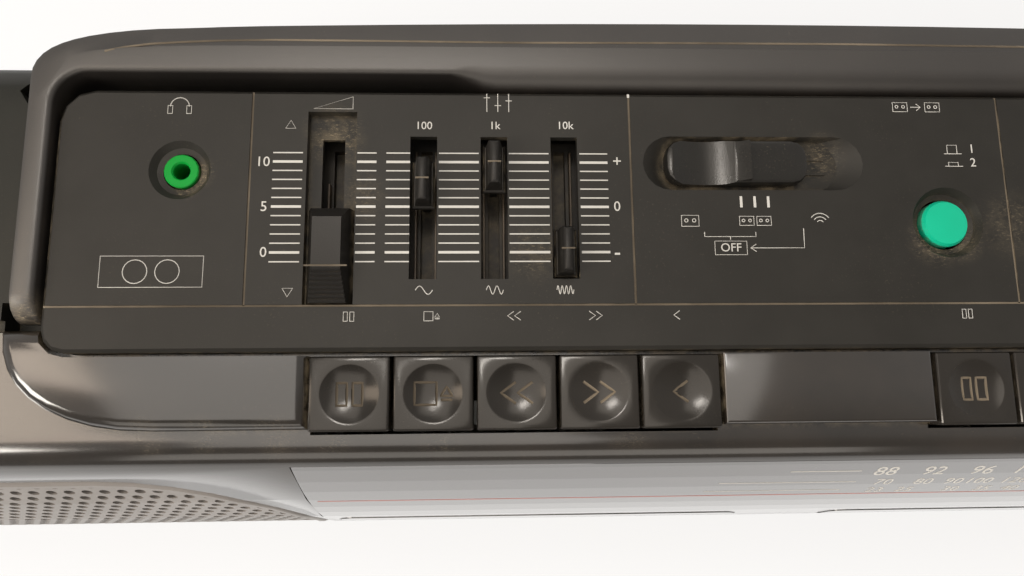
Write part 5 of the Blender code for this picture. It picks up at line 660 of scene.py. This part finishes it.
def makeKeys():
    blank, middle, top = makeBlankKey()
    for kind, sign in keySigns.items():
        sides = ["_right"] if kind == "record_key" else ["_left", "_right"]
        low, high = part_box(kind + sides[0])
        shift = (low.x + high.x) / 2 - middle.x
        key = copyOf(blank, kind + "Cap", (shift, 0, 0))
        lines = []
        steps = keySet["signSteps"]
        for line in signs[sign]:
            points = [(ax + (bx - ax) * step / steps, ay + (by - ay) * step / steps)
                      for (ax, ay), (bx, by) in zip(line, line[1:]) for step in range(steps)] + [line[-1]]
            lines.append([(middle.x + shift + x * mm, middle.y - keySet["signDown"] + y * mm,
                           top - dishDrop(x * mm, y * mm - keySet["signDown"])) for x, y in points])
        cutAway(key, addTube("signGroove", lines, keySet["groove"]))
        key.data.materials.clear()
        key.data.materials.append(finishes["key"])
        key.data.materials.append(finishes["packedDust"])
        for face in key.data.polygons:
            x, y = face.center.x - middle.x - shift, face.center.y - middle.y
            if math.hypot(x, y) < keySet["dishRadius"] - mm and face.center.z > top - 2 * mm:
                face.material_index = int(face.center.z < top - dishDrop(x, y) - keySet["dustFrom"])
        smooth(key, keySet["angle"])
        for side in sides:
            low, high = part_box(kind + side)
            made = copyOf(key, kind + side + "_cap", ((low.x + high.x) / 2 - middle.x - shift, 0, 0))
            dress(made, None, bodyOf[kind + side], "key", kind + side)
        bpy.data.objects.remove(key)
    bpy.data.objects.remove(blank)


makeKeys()
print("keys made")

# Loudspeaker grilles: a curved sheet of round holes set as a honeycomb, inside a plain rolled rim
grilleSet = {"pitch": 3.85 * mm, "row": 3.334 * mm, "hole": 1.16 * mm, "thick": 0.8 * mm, "rim": 2.6 * mm,
             "sink": 0.3 * mm, "corner": 42 * mm, "roll": 0.7 * mm, "ahead": 5 * mm, "weld": 0.01 * mm,
             "holeSides": 12, "sheetAngle": 38, "rimAngle": 40, "rollFrom": 50}


def makeHoleCell():
    # One hole with the metal round it, out to a hexagon
    pickOnly(nodes["control_panel"])
    bpy.ops.mesh.primitive_circle_add(vertices=grilleSet["holeSides"], radius=grilleSet["hole"],
                                      rotation=(math.pi / 2, 0, 0))
    bpy.ops.object.transform_apply(rotation=True)
    cell = bpy.context.object
    editAll(cell)
    bpy.ops.mesh.extrude_edges_move()
    leaveEdit()
    for vertex in cell.data.vertices:
        if vertex.select:
            turn = math.atan2(vertex.co.z, vertex.co.x)
            corner = round(math.degrees(turn)) % 60 == 30
            reach = grilleSet["pitch"] / (math.sqrt(3) if corner else 2)
            vertex.co = vertex.co.normalized() * reach
    return cell


def insideGrille(node, margin):
    # A test for points within the grille's outline, drawn in by a margin
    low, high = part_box(node)
    left = node.endswith("left")

    def test(point):
        side = point.x - low.x if left else high.x - point.x
        inner = high.x - point.x if left else point.x - low.x
        top, bottom = high.z - point.z, point.z - low.z
        corner = grilleSet["corner"]
        for a in (side, inner):
            for b in (top, bottom):
                if a < corner and b < corner:
                    return math.hypot(corner - a, corner - b) < corner - margin
        return min(side, inner, top, bottom) > margin
    return test


def makeGrille(node):
    # The sheet is made flat in front of its node and laid onto it; the rim is the node's own edge
    low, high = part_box(node)
    sheet = makeHoleCell()
    sheet.name = node + "_sheet"
    row, pitch = grilleSet["row"], grilleSet["pitch"]
    joinTo(sheet, copyOf(sheet, "secondRow", (pitch / 2, 0, row)))
    modify(sheet, "ARRAY", count=int((high.x - low.x) / pitch) + 2, use_relative_offset=False,
           use_constant_offset=True, constant_offset_displace=(pitch, 0, 0))
    modify(sheet, "ARRAY", count=int((high.z - low.z) / row / 2) + 2, use_relative_offset=False,
           use_constant_offset=True, constant_offset_displace=(0, 0, 2 * row))
    moveMesh(sheet, (low.x, low.y - grilleSet["ahead"], low.z))
    test = insideGrille(node, grilleSet["rim"] / 2)
    editFaces(sheet, lambda centre, normal: not test(centre))
    bpy.ops.mesh.delete(type="FACE")
    bpy.ops.mesh.select_all(action="SELECT")
    bpy.ops.mesh.remove_doubles(threshold=grilleSet["weld"])
    leaveEdit()
    modify(sheet, "SHRINKWRAP", target=nodes[node], wrap_method="PROJECT", use_project_y=True,
           use_positive_direction=True, use_negative_direction=False)
    modify(sheet, "SOLIDIFY", thickness=grilleSet["thick"], offset=0.0)
    moveMesh(sheet, (0, grilleSet["sink"] + grilleSet["thick"] / 2, 0))
    faceOut(sheet)
    smooth(sheet, grilleSet["sheetAngle"])
    rim = skinOf(node, node + "_rim")
    for way in (-1, 1):
        editFaces(rim, lambda centre, normal: normal.y * way > 0.6)
        bpy.ops.mesh.inset(thickness=grilleSet["rim"])
        bpy.ops.mesh.delete(type="FACE")
        leaveEdit()
    editNone(rim, "EDGE")
    bpy.ops.mesh.select_non_manifold()
    bpy.ops.mesh.bridge_edge_loops()
    faceOut(rim)
    modify(rim, "BEVEL", width=grilleSet["roll"], segments=2, limit_method="ANGLE",
           angle_limit=math.radians(grilleSet["rollFrom"]))
    smooth(rim, grilleSet["rimAngle"])
    for piece in (sheet, rim):
        dress(piece, finishes["grille"], bodyOf[node], "grille", node)


for name in ("speaker_grille_left", "speaker_grille_right"):
    makeGrille(name)
print("grilles made")

# Printed marks on the control panel, in millimetres from its middle; bars are left, front, right, rear
printSet = {"thick": 0.04 * mm, "line": 0.13 * mm, "sunk": 0.06 * mm, "figure": 3.1 * mm, "fine": 0.13,
            "bold": 0.27, "boldRows": (1, 6, 11), "signSize": 0.42, "signAside": -0.4, "signRow": -7.6}
scaleRows = [27.9 - 1.99 * k for k in range(13)]
scaleSpans = [(-125.9, -119.6), (-108.0, -103.9), (-101.8, -96.7), (-90.5, -81.9), (-75.4, -66.75),
              (-60.0, -53.9)]
switchMarks = [(x - 0.28, 15.9, x + 0.28, 18.4) for x in (-24.9, -21.9, -18.9)]
frontMark = (-49.1, 40.9, -48.6, 41.7)
# Text, place across, place in depth, size
figures = [("10", -128.0, 25.8, 1), ("5", -127.4, 15.9, 1), ("0", -127.1, 6.0, 1), ("+", -51.8, 26.1, 1.15),
           ("0", -52.1, 16.0, 1), ("-", -52.4, 6.0, 1.5), ("100", -93.8, 34.1, 0.8), ("1k", -78.4, 34.2, 0.8),
           ("10k", -63.0, 34.3, 0.8), ("OFF", -27.7, 6.9, 0.85), ("1", 28.0, 29.4, 0.9),
           ("2", 28.0, 26.2, 0.9)]


def arcLine(x, y, radius, start, end, steps=10):
    turns = [math.radians(start + (end - start) * k / steps) for k in range(steps + 1)]
    return [(x + radius * math.cos(turn), y + radius * math.sin(turn)) for turn in turns]


def boxLine(left, front, right, rear):
    return [(left, front), (right, front), (right, rear), (left, rear), (left, front)]


def waveLine(x, y, cycles, width=3.6, height=0.9):
    count = 12 * cycles
    return [(x - width / 2 + width * k / count, y + height * math.sin(math.tau * cycles * k / count))
            for k in range(count + 1)]


def cassetteLines(x, y, size):
    width, depth, reel = 2.1 * size, 1.35 * size, 0.42 * size
    return [boxLine(x - width, y - depth, x + width, y + depth)] + [
        arcLine(x + sign * 0.95 * size, y + 0.1 * size, reel, 0, 360) for sign in (-1, 1)]


def printLines():
    lines = [arcLine(-146.2, 38.2, 2.0, 0, 180)]
    lines += [boxLine(-148.7, 36.6, -147.7, 38.4), boxLine(-144.7, 36.6, -143.7, 38.4)]
    lines += [arcLine(-153.2, 2.0, 2.5, 0, 360, 20), arcLine(-146.6, 2.0, 2.5, 0, 360, 20)]
    lines += [boxLine(-160.4, -1.3, -139.3, 5.3)]
    lines += [[(-117.6, 37.9), (-109.2, 37.9), (-109.2, 40.7), (-117.6, 37.9)]]
    for k, height in enumerate((1.2, -0.6, 0.5)):
        x = -77.7 + 2.4 * (k - 1)
        lines += [[(x, 37.4), (x, 41.6)], [(x - 0.7, 39.5 + height), (x + 0.7, 39.5 + height)]]
    lines += [waveLine(-93.5, -2.1, 1), waveLine(-78.6, -2.1, 2), waveLine(-63.7, -2.1, 4)]
    lines += [[(-123.5, 33.4), (-121.3, 33.4), (-122.4, 35.2), (-123.5, 33.4)]]
    lines += [[(-122.9, -1.6), (-120.7, -1.6), (-121.8, -3.4), (-122.9, -1.6)]]
    lines += cassetteLines(-36.3, 12.9, 0.9)
    lines += cassetteLines(-23.9, 12.9, 0.75) + cassetteLines(-20.1, 12.9, 0.75)
    lines += [arcLine(-7.7, 12.2, reach, 35, 145) for reach in (0.8, 1.6, 2.4)]
    lines += [[(-33.3, 10.4), (-33.3, 9.4), (-22.1, 9.4), (-22.1, 10.4)], [(-27.7, 9.4), (-27.7, 8.7)]]
    lines += [boxLine(-31.2, 5.4, -24.2, 8.4), [(-11.5, 11.2), (-11.6, 6.9), (-23.2, 6.9)],
              [(-22.2, 7.7), (-23.4, 6.9), (-22.2, 6.1)]]
    lines += [[(22.4, 28.3), (22.4, 30.3), (24.6, 30.3), (24.6, 28.3)], [(21.6, 28.3), (25.6, 28.3)]]
    lines += [[(22.4, 25.4), (22.4, 26.3), (24.6, 26.3), (24.6, 25.4)], [(21.6, 25.4), (25.6, 25.4)]]
    lines += cassetteLines(12.6, 39.2, 0.8)
    lines += [[(15.0, 39.2), (17.2, 39.2)], [(16.3, 40.0), (17.3, 39.2), (16.3, 38.4)]]
    lines += cassetteLines(20.0, 39.2, 0.8)
    size, y = printSet["signSize"], printSet["signRow"]
    for side in ("_left", "_right"):
        for kind, sign in keySigns.items():
            if kind + side in nodes:
                low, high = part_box(kind + side)
                x = (low.x + high.x) / 2 / mm + printSet["signAside"]
                lines += [[(x + size * a, y + size * b) for a, b in line] for line in signs[sign]]
    return lines


def printBars():
    bars = []
    for left, right in scaleSpans:
        for k, y in enumerate(scaleRows):
            half = printSet["bold" if k in printSet["boldRows"] else "fine"]
            bars.append((left, y - half, right, y + half))
    return bars + switchMarks + [frontMark]


def makePanelPrint():
    top = panelTop + printSet["thick"] / 2
    lines = [[(x * mm, y * mm, top - printSet["sunk"]) for x, y in line] for line in printLines()]
    made = [addTube("printLines", lines, printSet["line"], 4)]
    for left, front, right, rear in printBars():
        made.append(addBox("printBar", (left * mm, front * mm, panelTop - printSet["thick"]),
                           (right * mm, rear * mm, panelTop + printSet["thick"])))
    for text, x, y, size in figures:
        made.append(addNumber(text, (x * mm, y * mm, top), printSet["figure"] * size, printSet["thick"] * 2))
    piece = joinTo(*made)
    piece.name = "panel_print"
    dress(piece, finishes["print"], bodyOf["control_panel"], "panel")


makePanelPrint()
print("panel printed")

# Figures on the dial window are text, place across, height, size; its lines are left, height, right
dialSet = {"thick": 0.03 * mm, "clear": 0.03 * mm, "ahead": 3 * mm, "line": 0.3, "redFrom": 131.1,
           "redHigh": 0.44, "redInset": 2 * mm}
dialFigures = [(str(88 + 4 * k), 9.2 + 11.15 * k, 144.6, 5.4) for k in range(6)]
mediumWave = {"70": 11.3, "80": 20.8, "90": 28.0, "100": 34.0, "120": 42.6, "140": 51.0, "160": 59.0,
              "180": 66.5}
shortWave = {"23": 11.6, "25": 18.8, "30": 30.0, "35": 37.8, "40": 44.6, "50": 55.5, "60": 65.0}
dialFigures += [(text, x, 138.9, 4.4) for text, x in mediumWave.items()]
dialFigures += [(text, x, 133.9, 4.2) for text, x in shortWave.items()]
dialLines = [(-12.8, 144.9, 3.4), (-27.4, 139.2, 4.6), (-29.5, 134.2, 3.0)]


def layOnDial(piece):
    # Folds a flat mesh onto the dial window along the view from the front
    modify(piece, "SHRINKWRAP", target=nodes["dial_window"], wrap_method="PROJECT", use_project_y=True,
           use_positive_direction=True, use_negative_direction=False)
    modify(piece, "SOLIDIFY", thickness=dialSet["thick"], offset=0.0)
    moveMesh(piece, (0, -dialSet["clear"], 0))
    faceOut(piece)
    return piece


def addStrip(low, high, y):
    # A flat strip seen from the front, cut across once each way so that it can bend
    middle = ((low[0] + high[0]) / 2, y, (low[1] + high[1]) / 2)
    pickOnly(nodes["control_panel"])
    bpy.ops.mesh.primitive_plane_add(size=1, location=middle, rotation=(math.pi / 2, 0, 0))
    piece = bpy.context.object
    piece.scale = (high[0] - low[0], high[1] - low[1], 1)
    bpy.ops.object.transform_apply(location=True, rotation=True, scale=True)
    editAll(piece)
    bpy.ops.mesh.subdivide(number_cuts=1)
    leaveEdit()
    return piece


def makeDialPrint():
    low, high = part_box("dial_window")
    front = low.y - dialSet["ahead"]
    made = []
    for text, x, z, size in dialFigures:
        made.append(addNumber(text, (x * mm, front, z * mm), size * mm, 0, math.pi / 2))
    for left, z, right in dialLines:
        made.append(addStrip((left * mm, z * mm), (right * mm, (z + dialSet["line"]) * mm), front))
    piece = layOnDial(joinTo(*made))
    piece.name = "dial_print"
    dress(piece, finishes["print"], bodyOf["dial_window"], "panel")
    inset, red = dialSet["redInset"], dialSet["redFrom"]
    line = addStrip((low.x + inset, red * mm), (high.x - inset, (red + dialSet["redHigh"]) * mm), front)
    line.name = "dial_redline"
    dress(layOnDial(line), finishes["redPrint"], bodyOf["dial_window"], "panel")


makeDialPrint()
print("dial printed")

# Dust packed in the panel's grooves, as thin uneven strips
grooveSet = {"half": 0.2 * mm, "under": 0.2 * mm, "deep": 0.38 * mm, "front": 9.5 * mm, "inset": 0.4 * mm,
             "dividers": (-0.381, -0.1423, 0.1015, 0.3452), "cuts": 12}


def makeGrooveDust():
    low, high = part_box("control_panel")
    half, inset, grooveY = grooveSet["half"], grooveSet["inset"], low.y + grooveSet["front"]
    top, bottom = panelTop - grooveSet["under"], panelTop - grooveSet["deep"]
    made = [addBox("grooveDust", (low.x + inset, grooveY - half, bottom),
                   (high.x - inset, grooveY + half, top))]
    for share in grooveSet["dividers"]:
        x = share * (high.x - low.x)
        made.append(addBox("grooveDust", (x - half, grooveY, bottom), (x + half, high.y - inset, top)))
    piece = joinTo(*made)
    editAll(piece)
    bpy.ops.mesh.subdivide(number_cuts=grooveSet["cuts"])
    leaveEdit()
    piece.name = "groove_dust"
    dress(piece, finishes["packedDust"], bodyOf["control_panel"], "panel")


makeGrooveDust()
print("grooves dusted")

# Along the bottom the rear half laps behind the front half's edge, so that no light comes through
tongueSet = {"inset": 6 * mm, "reach": 3 * mm, "bottom": 5.7 * mm, "top": 6.3 * mm}


def makeSeamTongue():
    low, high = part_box("rear_cabinet")
    inset, reach = tongueSet["inset"], tongueSet["reach"]
    piece = addBox("seam_tongue", (low.x + inset, low.y - reach, tongueSet["bottom"]),
                   (high.x - inset, low.y + reach, tongueSet["top"]))
    dress(piece, finishes["shell"], bodyOf["rear_cabinet"], slotOf["rear_cabinet"])


# The dusty parting line along the top of the grip, from its right end to its middle in millimetres
seamSet = {"radius": 0.34 * mm, "sunk": 0.14 * mm,
           "places": [(162, 49.8, 160.0), (158, 50.9, 159.7), (152.8, 51.8, 159.5), (146.6, 52.4, 159.25),
                      (138, 52.9, 159.15), (127, 53.2, 159.13), (104, 53.2, 159.16), (73, 53.1, 159.22),
                      (40, 53.4, 159.2), (0, 53.6, 159.18)]}


def makeHandleSeam():
    half = [(x * mm, y * mm, z * mm - seamSet["sunk"]) for x, y, z in seamSet["places"]]
    line = half[:-1] + [(-x, y, z) for x, y, z in reversed(half)]
    piece = addTube("handle_seam", [line], seamSet["radius"])
    dress(piece, finishes["packedDust"], bodyOf["carry_handle"], slotOf["carry_handle"])


# In millimetres: the index line on a slider's knob is left, front, right and rear from the knob's middle,
# and the two brown rails down in its slot are half their distance, their length and their middle
toneSlider = {"line": (-1.4, -0.15, 1.4, 0.15), "rails": (2.2, 30.0, 15.95)}
sliders = {
    "volume_knob": {"line": (-4.4, -2.9, 4.4, -2.6), "rails": (1.9, 36.0, 5.4)},
    "bass_knob": toneSlider,
    "mid_knob": toneSlider,
    "treble_knob": toneSlider,
}
indexSet = {"deep": 0.3 * mm, "proud": 0.03 * mm}
railSet = {"width": 0.45 * mm, "low": 0.1 * mm, "high": 2.2 * mm, "edge": 0.12 * mm}


def makeIndexLines():
    for name, slider in sliders.items():
        left, front, right, rear = slider["line"]
        low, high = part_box(name)
        x, y = (low.x + high.x) / 2, (low.y + high.y) / 2
        piece = addBox(name + "_line", (x + left * mm, y + front * mm, high.z - indexSet["deep"]),
                       (x + right * mm, y + rear * mm, high.z + indexSet["proud"]))
        dress(piece, finishes["packedDust"], bodyOf[name], "knob")


def makeSlotRails():
    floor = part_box("control_board")[1].z
    made = []
    half = railSet["width"] / 2
    for name, slider in sliders.items():
        apart, length, middle = slider["rails"]
        low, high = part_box(name)
        x = (low.x + high.x) / 2
        for side in (-1, 1):
            rail = x + side * apart * mm
            made.append(addBox("rail", (rail - half, (middle - length / 2) * mm, floor + railSet["low"]),
                               (rail + half, (middle + length / 2) * mm, floor + railSet["high"])))
    piece = joinTo(*made)
    piece.name = "slot_rails"
    roundEdges(piece, lambda a, b: min(a.z, b.z) > floor + mm, railSet["edge"])
    dress(piece, finishes["rail"], bodyOf["control_board"], "board")


# Screws in the rear cabinet's wells
screwSet = {"radius": 3.1 * mm, "height": 1.8 * mm, "cross": 0.45 * mm, "reach": 2.0 * mm, "deep": 1.1 * mm,
            "edge": 0.6 * mm, "angle": 35, "x": 250.8 * mm, "z": (16 * mm, 128 * mm), "well": 6 * mm,
            "clear": 0.05 * mm}


def makeScrews():
    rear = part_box("rear_cabinet")[1].y - screwSet["well"] + screwSet["clear"]
    pickOnly(nodes["control_panel"])
    bpy.ops.mesh.primitive_cylinder_add(vertices=32, radius=screwSet["radius"], depth=screwSet["height"],
                                        location=(0, 0, screwSet["height"] / 2))
    head = bpy.context.object
    bpy.ops.object.transform_apply(location=True)
    roundEdges(head, lambda a, b: min(a.z, b.z) > screwSet["height"] - 0.01 * mm, screwSet["edge"], 3)
    for x, y in ((screwSet["reach"], screwSet["cross"]), (screwSet["cross"], screwSet["reach"])):
        cutAway(head, addBox("screwSlot", (-x, -y, screwSet["height"] - screwSet["deep"]),
                             (x, y, screwSet["height"] + mm)))
    editAll(head)
    bpy.ops.transform.rotate(value=math.pi / 2, orient_axis="X", center_override=(0, 0, 0))
    leaveEdit()
    if max(vertex.co.y for vertex in head.data.vertices) < mm:
        editAll(head)
        bpy.ops.transform.rotate(value=math.pi, orient_axis="X", center_override=(0, 0, 0))
        leaveEdit()
    smooth(head, screwSet["angle"])
    places = [(side * screwSet["x"], rear, z) for side in (-1, 1) for z in screwSet["z"]]
    for k, place in enumerate(places, 1):
        made = copyOf(head, "screw_%d" % k, place)
        dress(made, finishes["steel"], bodyOf["rear_cabinet"], "steel")
    bpy.data.objects.remove(head)


makeSeamTongue()
makeHandleSeam()
makeIndexLines()
makeSlotRails()
makeScrews()
print("small pieces made")

# Floor and light; the floor glows by a share of what is seen of it, and its shadows stay
stageSet = {"floorSize": 6.0, "floorColour": (0.84, 0.83, 0.82), "paler": 1.01, "roughness": 0.9,
            "backdrop": (1.0, 0.99, 0.98), "glowShare": 0.74}


def makeStage():
    pickOnly(nodes["control_panel"])
    bpy.ops.mesh.primitive_plane_add(size=stageSet["floorSize"], location=(0, 0, 0))
    floor = bpy.context.object
    floor.name = "floor"
    material, tree, shader = newMaterial("floorCard")
    cloud = noiseNode(tree, 3.0, 2.0, 0.55)
    paler = tuple(stageSet["paler"] * part for part in stageSet["floorColour"])
    link(tree, mixColour(tree, cloud, stageSet["floorColour"], paler), shader.inputs["Base Color"])
    shader.inputs["Roughness"].default_value = stageSet["roughness"]
    glow = tree.nodes.new("ShaderNodeEmission")
    glow.inputs["Color"].default_value = (*stageSet["backdrop"], 1)
    glow.inputs["Strength"].default_value = 1.0
    path = tree.nodes.new("ShaderNodeLightPath")
    seen = mathNode(tree, "MAXIMUM", path.outputs["Is Camera Ray"], path.outputs["Is Transmission Ray"])
    seen = mathNode(tree, "MAXIMUM", seen, path.outputs["Is Glossy Ray"])
    share = mathNode(tree, "MULTIPLY", seen, stageSet["glowShare"])
    mix = tree.nodes.new("ShaderNodeMixShader")
    link(tree, share, mix.inputs[0])
    link(tree, shader.outputs[0], mix.inputs[1])
    link(tree, glow.outputs[0], mix.inputs[2])
    link(tree, mix.outputs[0], tree.nodes["Material Output"].inputs["Surface"])
    floor.data.materials.append(material)


# The room's brightness falls with height; in gloss it is darker towards the front instead
roomSet = {"heights": (0.05, 0.85), "fall": (0.75, 0.35), "depths": (-0.55, 0.10), "gloss": (0.26, 0.62)}


def makeWorld():
    world = bpy.data.worlds.new("softRoom")
    bpy.context.scene.world = world
    world.use_nodes = True
    tree = world.node_tree
    back = tree.nodes["Background"]
    place = tree.nodes.new("ShaderNodeTexCoord")
    parts = tree.nodes.new("ShaderNodeSeparateXYZ")
    link(tree, place.outputs["Generated"], parts.inputs[0])
    plain = mixValue(tree, rampNode(tree, parts.outputs["Z"], *roomSet["heights"]), *roomSet["fall"])
    mirrored = mixValue(tree, rampNode(tree, parts.outputs["Y"], *roomSet["depths"]), *roomSet["gloss"])
    path = tree.nodes.new("ShaderNodeLightPath")
    unseen = pickValue(tree, path.outputs["Is Glossy Ray"], plain, mirrored)
    back.inputs["Color"].default_value = (*stageSet["backdrop"], 1)
    link(tree, pickValue(tree, path.outputs["Is Camera Ray"], unseen, 1.0), back.inputs["Strength"])


daylight = (1.0, 0.96, 0.90)
lamps = {
    "topBox": {"place": (-0.25, 0.04, 1.27), "size": (1.2, 0.8), "power": 5.0, "colour": (1.0, 0.96, 0.91)},
    "warmLamp": {"place": (-0.95, 0.0, 1.2), "size": (0.34, 0.5), "power": 2.6, "colour": (1.0, 0.86, 0.72)},
    "ceilingLamp": {"place": (-0.20, 0.30, 1.25), "size": (0.26, 0.14), "power": 2.2},
    "leftWindow": {"place": (-1.15, -0.42, 0.85), "size": (0.34, 0.5), "power": 9.0, "colour": daylight},
    "frontLamp": {"place": (-0.1, -1.15, 0.8), "size": (1.6, 0.6), "power": 4.2, "colour": daylight},
    "rearLamp": {"place": (0.0, 1.2, 0.9), "size": (1.4, 0.5), "power": 0.7},
}


def makeLamps():
    for name, lamp in lamps.items():
        data = bpy.data.lights.new(name, "AREA")
        data.shape = "RECTANGLE"
        data.size, data.size_y = lamp["size"]
        data.energy = lamp["power"]
        data.color = lamp.get("colour", (1, 1, 1))
        made = bpy.data.objects.new(name, data)
        bpy.context.scene.collection.objects.link(made)
        made.location = lamp["place"]
        made.rotation_euler = (Vector((0, 0, panelTop)) - made.location).to_track_quat("-Z", "Y").to_euler()


makeStage()
makeWorld()
makeLamps()
bpy.context.scene.view_settings.view_transform = "Standard"
print("stage and light set")
